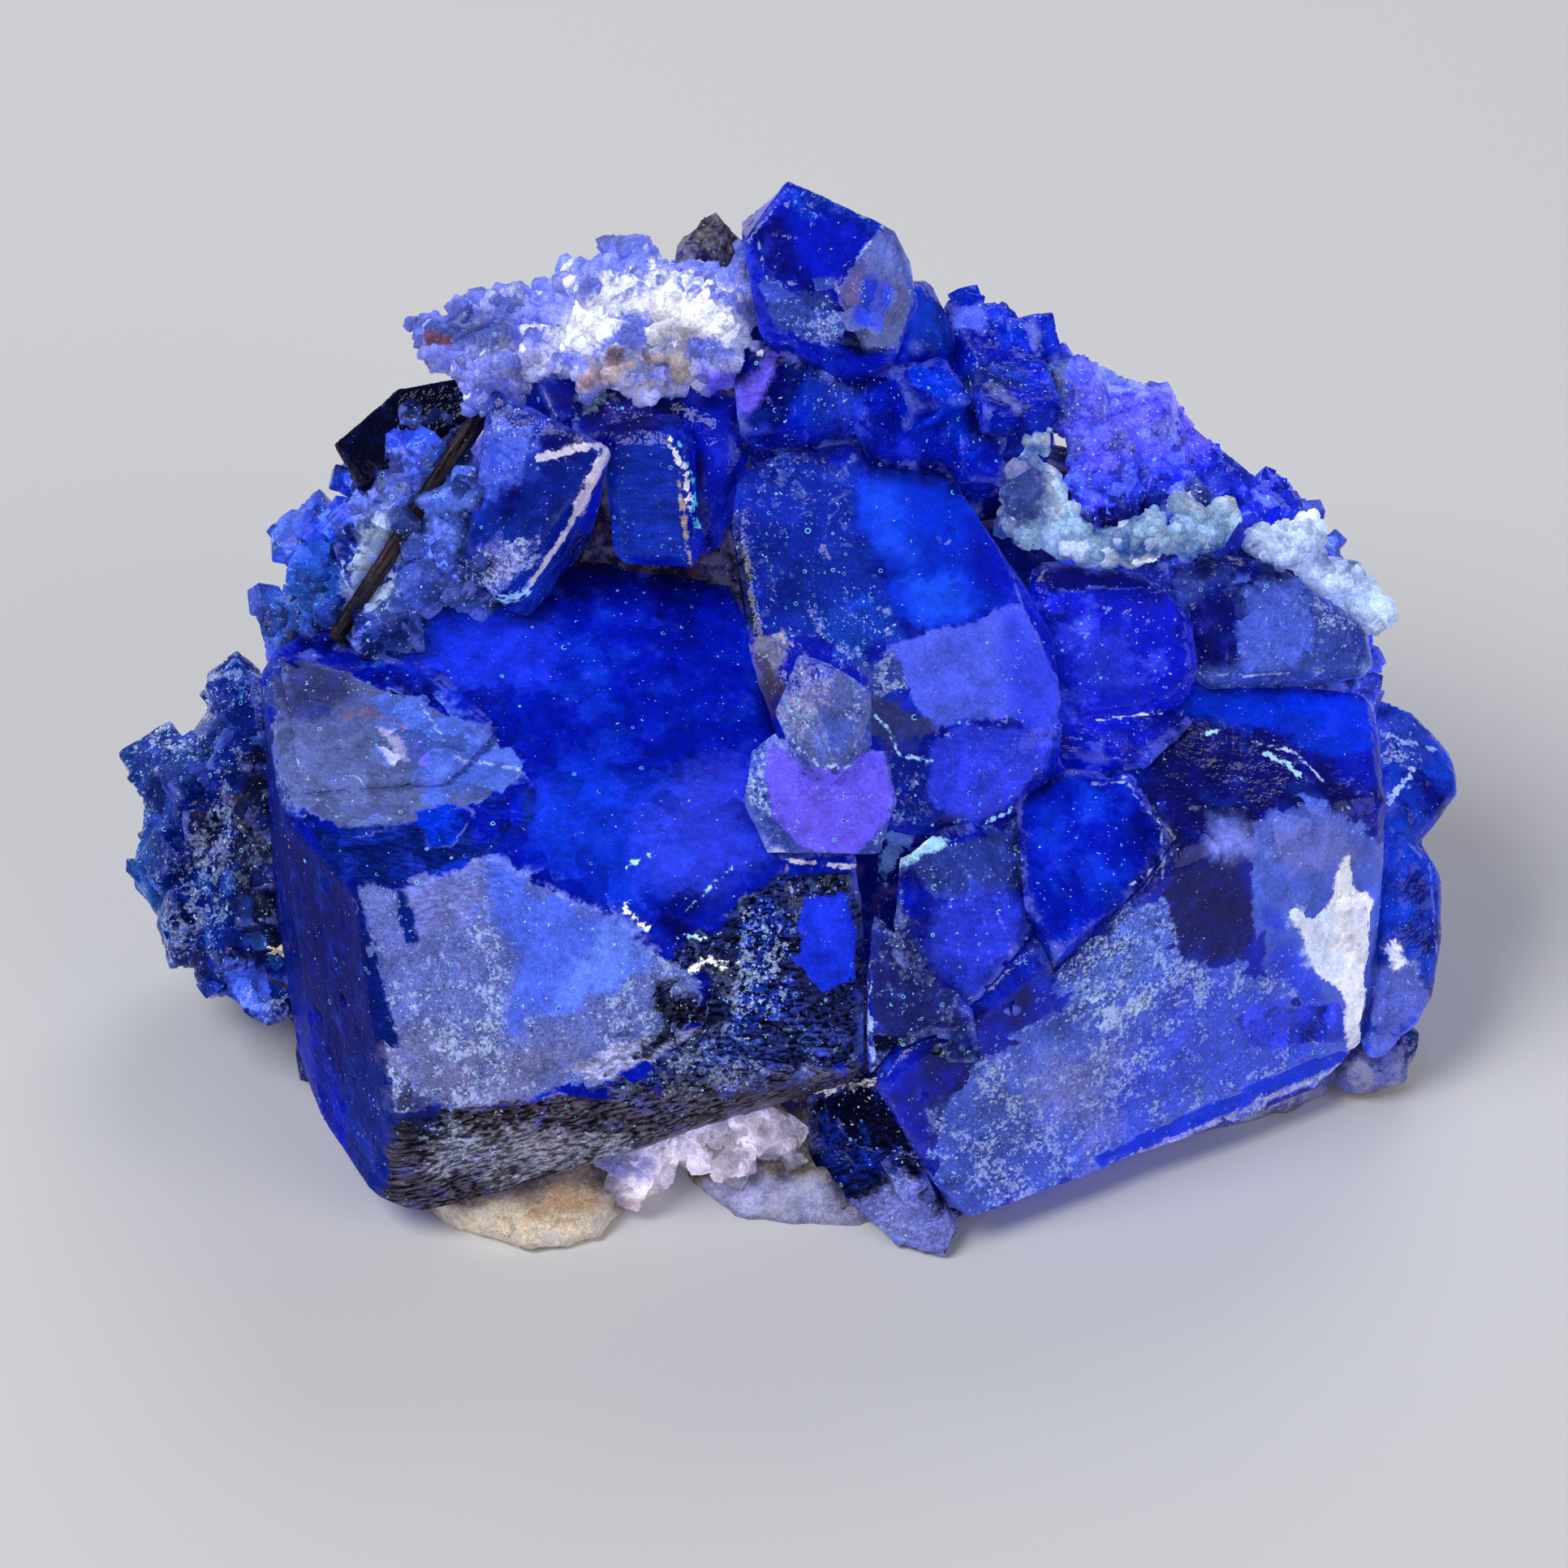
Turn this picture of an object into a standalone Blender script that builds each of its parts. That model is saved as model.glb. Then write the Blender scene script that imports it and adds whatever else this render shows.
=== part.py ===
"""A fluorite cluster: blue and violet cubes grown together on a piece of pale rock.

The specimen stands on the flat underside of its rock. X runs left to right, Y runs
from front to back, Z is up, and the origin is the middle of the footprint, on the
ground. Sizes and places are millimetres and turns are degrees, until the last step
makes them metres.
"""

import math
import random
from collections import namedtuple

import bmesh
import bpy
from mathutils import Euler, Matrix, Vector, noise

MM = 0.001          # metres in one millimetre
GAP = 0.3           # clearance between grains that touch
SAME_POINT = 0.002  # vertices closer than this are one
FLAT = 1.0          # facets within this many degrees are one
REACH = 200.0       # size of the block that cuts the underside flat

# ---------------------------------------------------------------------------
# Shapes
# ---------------------------------------------------------------------------
Crystal = namedtuple("Crystal", "corners edge")
Block = namedtuple("Block", "size at turn edge")
Lump = namedtuple("Lump", "at radii detail rough seed")
Plate = namedtuple("Plate", "start end depth thick")
Grains = namedtuple("Grains", "count small large facing seed")
Node = namedtuple("Node", "shapes grains chips material")


def crystal(*corners, edge=0.0):
    """A crystal between its corner points. edge is the width of its worn edges."""
    return Crystal(corners, edge)


def block(size, at, turn=(0, 0, 0), edge=0.0):
    """A box-shaped crystal."""
    return Block(size, at, turn, edge)


def lump(at, radii, detail=2, rough=0.12, seed=0):
    """A rounded knob with an uneven surface."""
    return Lump(at, radii, detail, rough, seed)


def plate(start, end, depth, thick):
    """A thin blade that stands edge-on in the slope, from start to end."""
    return Plate(start, end, depth, thick)


def node(*shapes, grains=None, chips=(), material="blue"):
    """One grain of the specimen. grains are small crystals on it, chips are broken off."""
    return Node(shapes, grains, chips, material)


# ---------------------------------------------------------------------------
# The specimen. Each node is one crystal, or a group whose crystals interpenetrate.
# A node is cut back, with a gap, where it meets a node above it in this list.
# ---------------------------------------------------------------------------
SPECIMEN = {
    # The two big cubes in front and the worn one between them
    "large_left_cube": node(
        crystal((-34.5, 1, 28.5), (-32.5, -12, 26), (-27, -20, 26), (5, -17, 25.5),
                (-1, -14, 27), (-3.5, 1, 29), (-4.5, 9, 30.5), (-26, 8, 30.5),
                (-25, -26, 12), (5, -22.5, 13),
                (-27, -24.5, 3), (-24, -25, 2), (5, -18, 8),
                (-32.5, -13, 6), (-30.5, -18.5, 4), (-34, -2.5, 20), (-33.5, -9, 12),
                (-30, 4, 10), (-6, 6, 10), edge=0.7),
        crystal((-33, -1, 29.2), (-31, -11.5, 27.2), (-22, -11.5, 28),
                (-18.5, -7, 28.8), (-23, -2, 29.7), (-30, 1, 29.7),
                (-30, -8, 24), (-22, -6, 24)),
        chips=(crystal((-10, -18.5, 26.5), (-6, -20, 19), (-11, -22.6, 15.5),
                       (8, -28, 12), (8, -17, 29), (8, -20.8, 11), (8, -15, 25)),),
        material="deep_blue"),
    "notch_crystal": node(
        crystal((15, -12, 27), (18.5, -10, 27.5), (22.5, -10.5, 27.5), (25, -14, 25),
                (22.5, -17, 23.5), (17.5, -21, 21.5), (15.5, -18, 23.5),
                (18, -9, 17), (22, -11, 18), (17, -18, 15)),
        material="deep_blue"),
    "large_right_cube": node(
        crystal((11.5, -26, 2), (35.5, -13.5, 2), (37.5, -12, 3), (39.5, -10, 5),
                (39.5, -8, 23.3), (31.5, -11.8, 24.8), (24.5, -15.7, 24.5),
                (14, -22, 19.5), (5.5, -25, 14),
                (39, 1, 25.5), (27.5, 1, 27), (23, -6, 27.5),
                (37, 1, 6), (16, 2, 8), (8, -14, 8), edge=0.7),
        chips=(crystal((28.5, -19, 8), (30, -18, 12), (38, -15, 11.5), (38, -15, 4.5),
                       (30, -19, 4.5), (31, -13.7, 9.5), (36, -11, 8.5), (35, -11.6, 6)),),
        material="deep_blue"),
    "centre_rounded_crystal": node(
        crystal((5, -13, 31), (18, -10, 31.5), (17.5, -4, 34.5), (10, 6, 42),
                (2, 7, 42.5), (-3, 5, 40.5), (-3.5, 1, 39), (-2, -7, 34.5),
                (7.5, -16, 27), (13, -14, 25), (17.5, -11, 28),
                (0, -6, 24), (16, -2, 22), (10, 8, 26), (0, 8, 26), edge=2.0),
        material="bright_blue"),
    "small_violet_cube": node(
        crystal((-0.5, -14, 34), (6.5, -14, 32.5), (7, -17, 31), (6, -19, 28.5),
                (-1, -19, 28.5), (-2.5, -17, 31), (-2, -14, 32.5),
                (0, -12, 27), (5, -12, 27), (0, -16, 26), (5, -16, 26)),
        crystal((1, -11, 38), (3, -10, 36.5), (5.5, -12, 36), (5.5, -15, 34),
                (3.5, -17, 33.5), (1, -16, 33), (-0.5, -13, 35),
                (1, -11, 30), (4, -11, 30), (2, -15, 29)),
        material="violet"),
    "front_blue_crystals": node(
        crystal((7.5, -17.5, 26.5), (11, -16, 26.5), (16, -16, 23), (17, -19.5, 20.5),
                (15, -22.5, 17.5), (10, -23.5, 18.5), (7, -21.5, 22),
                (8, -13, 15), (15, -13, 14)),
        crystal((5.8, -19, 23), (8, -21, 22), (12, -23.5, 19), (12.5, -24.5, 15.5),
                (5.5, -24, 13.5), (5.6, -18, 12), (11, -15, 11)),
        crystal((8, -18, 27), (12, -13, 27), (16, -12, 26), (15, -18, 22),
                (9, -14, 18), (15, -12, 16)),
        material="deep_blue"),
    "low_front_crystals": node(
        crystal((1.5, -19, 8), (5, -18.5, 9), (10, -22, 11), (11, -25, 5.5),
                (11.3, -25, 1), (10.5, -27, 0.5), (7.5, -26, 0.5), (2, -20.5, 2),
                (8, -15, 3), (3, -15, 3)),
        block((4, 4, 5), (9.5, -23.5, 3.5), (15, -20, 25)),
        block((3, 3, 4), (4, -20, 4), (25, 10, -30)),
        material="dark_violet"),

    # The violet and blue cubes behind the right one
    "right_violet_cube": node(
        crystal((16.5, 1, 36.5), (23.5, 1, 35.5), (26.5, -2, 34), (27, -4, 31),
                (25, -5, 29), (18.5, -6, 29), (17, -5, 29.5), (16, 0, 35),
                (17, 5, 24), (24, 4, 24), (25, -2, 24), (18, -4, 22), edge=0.6),
        crystal((17, -5, 29), (25.5, -3.5, 28), (26.5, -5, 27.5), (23.5, -9, 27.6),
                (18, -9, 28), (18, -4, 22), (22, -7, 20)),
        material="violet"),
    "right_upper_crystal": node(
        crystal((25.5, 3, 34), (28.5, 5, 34), (32, 4, 34), (35, 1, 33),
                (38.5, 2, 30), (39, 0, 27.8), (34.5, -1, 28.5), (27.5, -2, 29),
                (27, 6, 22), (37, 6, 22), (28, 1, 24), edge=0.5),
        material="dark_violet"),
    "right_edge_crystals": node(
        crystal((40, 5, 22), (42.5, 5, 20.5), (45, 3, 18), (45.5, 0, 18),
                (43.5, -3, 17), (42, -4, 16.5), (40, -4, 19),
                (38, 6, 10), (43, 4, 9), (41, -3, 12), edge=0.5),
        crystal((40.5, -5, 17.5), (44, -5, 14.5), (44, -7, 11), (43.5, -9, 7),
                (42.5, -11, 6.5), (39.5, -13, 4.5), (38, 2, 4), (43, 2, 5),
                (42, -1, 16), (38, -8, 3.5), edge=0.9),
        material="deep_blue"),

    # The crest
    "top_crystals": node(
        crystal((0.3, 13, 57.8), (5.5, 11.5, 56), (7, 11, 55.3), (8, 11, 53),
                (8.5, 9, 51), (7, 6.5, 49), (5, 6, 50), (3.5, 8, 52),
                (-2.5, 10.5, 54.8), (-1.5, 8.5, 49.5),
                (-2.5, 16, 52.5), (1, 17, 54), (7, 16, 51),
                (-1, 17, 40), (7, 16, 40), (2, 9, 42)),
        crystal((8, 14, 50.5), (11, 14, 47.5), (11, 10, 46), (7.5, 8, 47.5),
                (9, 17, 47.5), (6, 12, 46), (8, 17, 38), (11, 14, 38), edge=1.0),
        material="deep_blue"),
    "upper_blue_crystals": node(
        crystal((-3, 10, 47.5), (1.5, 9, 49.5), (1.5, 5, 43.5), (-3, 5, 44),
                (-2, 12, 47.5), (-2, 11, 36), (2, 10, 36), (0, 7, 38)),
        crystal((1, 9, 49), (5, 9, 49), (5, 6, 43), (1, 5, 44),
                (2, 11, 36), (5, 10, 36), (3, 7, 37), edge=0.5),
        crystal((4.5, 8, 47), (12.5, 9, 45), (14, 5, 42), (12, 3, 38),
                (4.5, 4.5, 44), (6, 9, 34), (12, 9, 34), edge=0.8),
        block((4, 3.5, 3), (9, 7, 45), (20, 10, 30)),
        block((3, 3, 3), (12.5, 5, 41), (35, 15, 10)),
        material="bright_blue"),
    "ridge_crystals": node(
        block((4.5, 4.5, 4.5), (13, 12.5, 44.5), (18, 12, 30)),
        block((3.4, 3.4, 3.4), (11.5, 13.5, 46), (25, -10, 10)),
        block((5, 5, 6), (14.5, 8.5, 42.5), (12, 8, 15)),
        block((3.2, 3.2, 3.2), (16, 13, 44.8), (40, 5, 20)),
        block((6, 8, 12), (13.5, 12, 38), (0, 0, 10)),
        material="deep_blue"),
    "upper_left_crystals": node(
        crystal((-11.5, 6, 43), (-6, 5, 43), (-5.5, 2, 35), (-11, 2, 35.5),
                (-6.5, 8, 43.5), (-12, 9, 42), (-11, 9, 31), (-6, 9, 31), edge=0.6),
        crystal((-9, 10, 43.5), (-1.5, 9, 43.5), (-2.5, 6, 41), (-5, 3, 37.5),
                (-6, 2, 35.5), (-9, 12, 42.5), (-4, 7, 43),
                (-8, 11, 31), (-3.5, 10, 31), edge=1.0),
        block((6, 5, 4), (-11.5, 9.5, 41.5), (20, 5, 15)),
        block((3, 3, 3), (-15, 9, 43), (35, 10, 40)),
        material="bright_blue"),
    "veined_crystal": node(
        crystal((-19, 8, 45), (-11.5, 4, 43.5), (-11.3, 4, 42.5), (-17, 1.5, 34),
                (-18.5, 0.5, 34), (-21, 2, 34), (-20.5, 3, 37), (-19.5, 6, 43),
                (-19, 11, 31), (-13, 10, 31), (-17, 3, 30), edge=0.6),
        material="deep_blue"),

    # Thin dark blades on the left slope
    "long_blade": node(
        plate((-18.5, 10, 44.5), (-29.5, -0.5, 31), 4.0, 0.8),
        material="blade"),
    "short_blade": node(
        crystal((-29.8, 12, 37.5), (-25.5, 12.5, 41.5), (-20, 11.5, 43.5),
                (-20.5, 9.5, 42), (-26, 8.5, 38.5), (-28, 9, 36),
                (-29, 13.5, 36), (-20.5, 13.5, 41.5)),
        material="blade"),

    # The far side
    "back_left_crystals": node(
        block((11, 11, 11), (-23, 17, 24), (28, 18, 35), edge=0.6),
        block((7, 7, 7), (-14, 19, 32), (40, 10, 15), edge=0.5),
        block((6, 6, 6), (-28, 15, 14), (15, 40, 20), edge=0.5),
        block((8, 8, 9), (-18, 17, 28), (10, 30, 5)),
        block((5, 8, 12), (-26, 16, 19), (10, 10, 20)),
        material="deep_blue"),
    "back_right_crystals": node(
        block((11, 11, 11), (12, 20, 27), (35, 12, 20), edge=0.6),
        block((8, 8, 8), (21, 19, 19), (20, 35, 40), edge=0.5),
        block((6, 6, 6), (4, 20, 36), (45, 20, 5)),
        block((8, 8, 10), (8, 18, 31), (10, 10, 0)),
        block((8, 8, 8), (17, 18, 23), (10, 30, 0)),
        material="dark_violet"),

    # The piece of rock, cut flat underneath
    "rock": node(
        lump((-2, 0, 4), (34, 19, 19), detail=3, rough=0.14, seed=20),
        lump((-17, -19, 0.5), (8, 7.5, 3), rough=0.14, seed=21),
        lump((24, -7, 2), (15, 9, 7), rough=0.12, seed=22),
        lump((-32, 2, 6), (6, 9, 9), rough=0.14, seed=23),
        lump((4, -17, 0), (11, 7, 4), rough=0.14, seed=24),
        lump((-4, 14, 30), (17, 8, 15), rough=0.12, seed=25),
        lump((-4.8, 17, 47.5), (3, 2.4, 5), detail=1, rough=0.1, seed=26),
        lump((16, 11, 24), (17, 9, 13), rough=0.12, seed=27),
        lump((-22, 10, 22), (12, 8, 12), rough=0.12, seed=29),
        lump((30, 5, 12), (9, 10, 12), rough=0.12, seed=30),
        lump((39, -8.5, 2), (4, 4.5, 2.6), detail=1, rough=0.1, seed=31),
        lump((-34, -9, 9), (2.2, 2.0, 2.2), detail=1, rough=0.1, seed=28),
        material="rock"),

    # Crusts of small crystals
    "white_druse": node(
        lump((-17, 12.5, 44.8), (5.8, 4, 3.6), seed=1),
        lump((-10, 12.5, 46.6), (6, 4.5, 4.6), seed=2),
        lump((-4.5, 12.5, 47), (4, 4, 4.4), seed=3),
        lump((-21.5, 12.5, 45.8), (2.4, 1.8, 1.2), seed=4),
        grains=Grains(38, 1.7, 3.2, (0, -0.5, 0.7), 11),
        material="white"),
    "left_slope_crystals": node(
        crystal((-27, 13, 34), (-31.5, 11, 30), (-33, 5, 26.5), (-28, 1, 29.5),
                (-26, 5, 35), (-21.5, 6, 37.5), (-23, 12, 40.5), (-20, 3, 33.5),
                (-32, 9, 20), (-20, 12, 26), (-29, 14, 24)),
        grains=Grains(30, 2.4, 4.8, (-0.4, -0.6, 0.7), 21),
        material="pale_blue"),
    "left_lobe_crystals": node(
        crystal((-44, 0, 11), (-43.5, 2, 13.5), (-42, 5, 15.5), (-39.5, 6, 18),
                (-38, 6, 20.5), (-36.5, 8, 22), (-35.5, 4, 24), (-34.5, -2, 19),
                (-32.5, -8, 11), (-42.5, -2, 10.5), (-37.5, -8, 9.5),
                (-41, 5, 6), (-35, 8, 5), (-36, -4, 5), (-34, 10, 18)),
        crystal((-37.5, -8, 9), (-36, -11, 7.5), (-34.5, -12, 7), (-33, -12, 8),
                (-32.5, -10, 9), (-34, -7, 5), (-36, -7, 6)),
        grains=Grains(17, 2.0, 4.2, (-0.5, -0.7, 0.6), 31),
        material="dark_blue"),
    "violet_slope_crystals": node(
        crystal((18, 14, 43.5), (20, 13, 43.5), (24, 13, 41.5), (28, 13, 37),
                (31, 12, 34.5), (35.5, 11, 31), (38.5, 10, 27), (39.5, 7, 25),
                (39, 4, 22), (18.5, 8, 42.5), (19.5, 4.5, 36), (32, 5.5, 31),
                (20, 16, 30), (34, 14, 16), (24, 8, 26), (38, 9, 14)),
        grains=Grains(26, 1.8, 4.0, (0.2, -0.6, 0.7), 41),
        material="violet"),
    "pale_crust_left": node(
        lump((15.6, 7.5, 41.5), (1.6, 2.2, 2.4), detail=1, seed=6),
        lump((16.6, 4.5, 38.6), (2.0, 2.2, 2.6), detail=1, seed=7),
        lump((18.6, 2.8, 36.8), (2.4, 1.6, 1.8), detail=1, seed=8),
        lump((22.5, 2.4, 36.6), (3.0, 1.6, 1.6), detail=1, seed=9),
        lump((27, 4.6, 36), (3.2, 1.8, 1.8), detail=1, seed=10),
        grains=Grains(11, 1.6, 2.6, (0, -0.6, 0.6), 51),
        material="pale_green"),
    "pale_crust_right": node(
        lump((32.5, 5, 34.6), (2.6, 1.6, 1.6), detail=1, seed=12),
        lump((36, 4.6, 32), (2.6, 1.6, 1.9), detail=1, seed=13),
        lump((38, 4, 29.4), (1.6, 1.6, 2.0), detail=1, seed=14),
        grains=Grains(6, 1.5, 2.4, (0.2, -0.6, 0.6), 61),
        material="pale_green"),
    "front_quartz": node(
        lump((-10, -20, 2.6), (3.4, 2.4, 2.2), detail=1, seed=16),
        lump((-5, -19, 3.2), (3.4, 2.6, 2.4), detail=1, seed=17),
        lump((-0.5, -18.6, 3.2), (2.8, 2.4, 2.4), detail=1, seed=18),
        grains=Grains(9, 1.8, 3.0, (0, -0.8, 0.4), 71),
        material="quartz"),
}

MATERIALS = {
    # name: colour, roughness, transmission
    "deep_blue": ((0.010, 0.020, 0.42), 0.22, 0.0),
    "bright_blue": ((0.012, 0.060, 0.60), 0.20, 0.0),
    "dark_blue": ((0.010, 0.030, 0.22), 0.28, 0.0),
    "pale_blue": ((0.09, 0.13, 0.45), 0.35, 0.0),
    "violet": ((0.12, 0.06, 0.55), 0.28, 0.0),
    "dark_violet": ((0.05, 0.035, 0.25), 0.30, 0.0),
    "white": ((0.62, 0.60, 0.82), 0.40, 0.0),
    "pale_green": ((0.50, 0.62, 0.68), 0.45, 0.0),
    "quartz": ((0.42, 0.42, 0.50), 0.25, 0.0),
    "blade": ((0.030, 0.022, 0.030), 0.30, 0.0),
    "rock": ((0.55, 0.47, 0.36), 0.80, 0.0),
}


# ---------------------------------------------------------------------------
# Modelling
# ---------------------------------------------------------------------------
def clear_scene():
    for old in list(bpy.data.objects):
        bpy.data.objects.remove(old, do_unlink=True)


def rotation(turn):
    return Euler([math.radians(angle) for angle in turn], "XYZ").to_matrix().to_4x4()


def wear_edges(bm, width):
    """Takes the sharpness off the edges between faces."""
    bmesh.ops.dissolve_limit(bm, angle_limit=math.radians(4), verts=bm.verts[:],
                             edges=bm.edges[:])
    if not width:
        return
    sharp = [edge for edge in bm.edges if edge.calc_face_angle(0) > math.radians(14)]
    bmesh.ops.bevel(bm, geom=sharp, offset=width, affect="EDGES",
                    segments=2 if width > 1.2 else 1, profile=0.5, material=-1,
                    clamp_overlap=True)


def face_outwards(bm):
    bmesh.ops.recalc_face_normals(bm, faces=bm.faces[:])
    if bm.calc_volume(signed=True) < 0:
        bmesh.ops.reverse_faces(bm, faces=bm.faces[:])


def hull_mesh(corners):
    bm = bmesh.new()
    for corner in corners:
        bm.verts.new(corner)
    bmesh.ops.convex_hull(bm, input=bm.verts[:])
    inner = [vert for vert in bm.verts if not vert.link_faces]
    bmesh.ops.delete(bm, geom=inner, context="VERTS")
    return bm


def block_mesh(spec):
    bm = bmesh.new()
    bmesh.ops.create_cube(bm, size=1.0)
    bmesh.ops.scale(bm, vec=spec.size, verts=bm.verts[:])
    bmesh.ops.transform(bm, matrix=Matrix.Translation(spec.at) @ rotation(spec.turn),
                        verts=bm.verts[:])
    return bm


def lump_mesh(spec, grow):
    """A ball drawn out to its radii, then roughened by hollows and bumps."""
    bm = bmesh.new()
    bmesh.ops.create_icosphere(bm, subdivisions=spec.detail, radius=1.0)
    shift = Vector((spec.seed * 3.7, spec.seed * 1.3, 0))
    middle = Vector(spec.at)
    radii = Vector(spec.radii)
    scale = 0.16 + 1.2 / max(radii)
    for vert in bm.verts:
        place = Vector(a * b for a, b in zip(vert.co, radii))
        bump = noise.noise(place * scale + shift) + 0.5 * noise.noise(place * scale * 2.3 + shift)
        reach = 1.0 + spec.rough * bump * 1.6
        vert.co = middle + place * reach
    if grow:
        bm.normal_update()
        for vert in bm.verts:
            vert.co += vert.normal * grow
    return bm


def plate_corners(spec):
    """The eight corners of a blade whose flat sides run down into the slope."""
    start = Vector(spec.start)
    end = Vector(spec.end)
    inward = Vector((0, 0.77, -0.64))
    across = (end - start).cross(inward).normalized() * spec.thick / 2
    deep = inward * spec.depth
    return [point + side for point in (start, end, start + deep, end + deep)
            for side in (across, -across)]


def mesh_of(spec, grow=0.0):
    """One shape as a closed bmesh in its place, grown outwards by so much all round."""
    if isinstance(spec, Lump):
        bm = lump_mesh(spec, grow)
    elif isinstance(spec, Block):
        bm = block_mesh(spec)
    elif isinstance(spec, Plate):
        bm = hull_mesh(plate_corners(spec))
    else:
        bm = hull_mesh(spec.corners)
    face_outwards(bm)
    if isinstance(spec, Lump):
        return bm
    if grow:
        bmesh.ops.dissolve_limit(bm, angle_limit=math.radians(4), verts=bm.verts[:],
                                 edges=bm.edges[:])
        bm.normal_update()
        moved = [vert.co + vert.normal * min(2.5, vert.calc_shell_factor()) * grow
                 for vert in bm.verts]
        for vert, place in zip(bm.verts, moved):
            vert.co = place
        bmesh.ops.triangulate(bm, faces=bm.faces[:])
        return bm
    wear_edges(bm, getattr(spec, "edge", 0.0))
    return bm


def grain_blocks(shapes, grains):
    """Small cubes standing on the side of the shapes that faces a direction."""
    picker = random.Random(grains.seed)
    facing = Vector(grains.facing)
    seats = []
    for spec in shapes:
        bm = mesh_of(spec)
        bmesh.ops.triangulate(bm, faces=bm.faces[:])
        for face in bm.faces:
            if face.normal.dot(facing) > -0.05:
                seats.append(([v.co.copy() for v in face.verts], face.calc_area()))
        bm.free()
    areas = [area for _, area in seats]
    blocks = []
    taken = []
    tries = 0
    while len(blocks) < grains.count and tries < grains.count * 30:
        tries += 1
        corners, _ = picker.choices(seats, weights=areas)[0]
        a, b = picker.random(), picker.random()
        if a + b > 1:
            a, b = 1 - a, 1 - b
        at = corners[0] + (corners[1] - corners[0]) * a + (corners[2] - corners[0]) * b
        size = picker.uniform(grains.small, grains.large)
        turn = [picker.uniform(0, 90) for _ in range(3)]
        tall = picker.uniform(0.8, 1.25)
        if any((at - other).length < 0.42 * (size + wide) for other, wide in taken):
            continue
        taken.append((at, size))
        blocks.append(block((size, size, size * tall), at, turn))
    return blocks


def to_object(name, bm, collection):
    mesh = bpy.data.meshes.new(name)
    bmesh.ops.triangulate(bm, faces=bm.faces[:])
    bm.to_mesh(mesh)
    bm.free()
    made = bpy.data.objects.new(name, mesh)
    collection.objects.link(made)
    return made


def is_closed(bm):
    return all(len(edge.link_faces) == 2 for edge in bm.edges)


def volume_of(mesh):
    """The volume inside a mesh, or None where its surface isn't closed."""
    bm = bmesh.new()
    bm.from_mesh(mesh)
    volume = bm.calc_volume(signed=True) if is_closed(bm) else None
    bm.free()
    return volume


def combine(target, bm, how, workshop):
    """Adds a shape to an object, or takes it away, and keeps the result in its mesh."""
    tool = to_object("tool", bm, workshop)
    tool.hide_render = True
    tool.display_type = "WIRE"
    before = volume_of(target.data)
    added = volume_of(tool.data)
    if how == "UNION":
        least, most = max(before, added), before + added
    else:
        least, most = before - added, before
    for solver in ("EXACT", "MANIFOLD"):
        step = target.modifiers.new("step", "BOOLEAN")
        step.operation = how
        step.solver = solver
        step.object = tool
        bpy.context.view_layer.update()
        depsgraph = bpy.context.evaluated_depsgraph_get()
        result = bpy.data.meshes.new_from_object(target.evaluated_get(depsgraph))
        target.modifiers.remove(step)
        volume = volume_of(result)
        if volume is not None and least - 0.1 <= volume <= most + 0.1:
            break
    used = target.data
    target.data = result
    bpy.data.meshes.remove(used)
    bpy.data.objects.remove(tool, do_unlink=True)


def box_of(bm_or_mesh):
    verts = bm_or_mesh.verts if isinstance(bm_or_mesh, bmesh.types.BMesh) else bm_or_mesh.vertices
    places = [v.co for v in verts]
    low = [min(p[i] for p in places) for i in range(3)]
    high = [max(p[i] for p in places) for i in range(3)]
    return low, high


def boxes_meet(one, other):
    return all(one[0][i] < other[1][i] and other[0][i] < one[1][i] for i in range(3))


def keep_largest(bm):
    """Leaves only the biggest body."""
    todo = set(bm.verts)
    bodies = []
    while todo:
        start = todo.pop()
        body = [start]
        edge = [start]
        while edge:
            vert = edge.pop()
            for link in vert.link_edges:
                other = link.other_vert(vert)
                if other in todo:
                    todo.remove(other)
                    body.append(other)
                    edge.append(other)
        bodies.append(body)
    bodies.sort(key=lambda body: -size_of(body))
    rest = [vert for body in bodies[1:] for vert in body]
    if rest:
        bmesh.ops.delete(bm, geom=rest, context="VERTS")


def size_of(body):
    spans = [max(v.co[i] for v in body) - min(v.co[i] for v in body) for i in range(3)]
    return spans[0] * spans[1] * spans[2]


def clean(made):
    """Drops slivers and crumbs, so that the body is one closed surface."""
    for same, flat in ((SAME_POINT, FLAT), (SAME_POINT / 10, FLAT), (SAME_POINT / 10, 0)):
        bm = bmesh.new()
        bm.from_mesh(made.data)
        bmesh.ops.remove_doubles(bm, verts=bm.verts[:], dist=same)
        bmesh.ops.dissolve_degenerate(bm, edges=bm.edges[:], dist=same)
        keep_largest(bm)
        if flat:
            bmesh.ops.dissolve_limit(bm, angle_limit=math.radians(flat), verts=bm.verts[:],
                                     edges=bm.edges[:])
        bmesh.ops.triangulate(bm, faces=bm.faces[:])
        face_outwards(bm)
        if is_closed(bm):
            break
    bm.to_mesh(made.data)
    bm.free()


def principled(name, look):
    colour, roughness, transmission = look
    material = bpy.data.materials.new(name)
    material.use_nodes = True
    shader = material.node_tree.nodes["Principled BSDF"]
    shader.inputs["Base Color"].default_value = (*colour, 1)
    shader.inputs["Roughness"].default_value = roughness
    shader.inputs["Transmission Weight"].default_value = transmission
    shader.inputs["IOR"].default_value = 1.43
    return material


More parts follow.
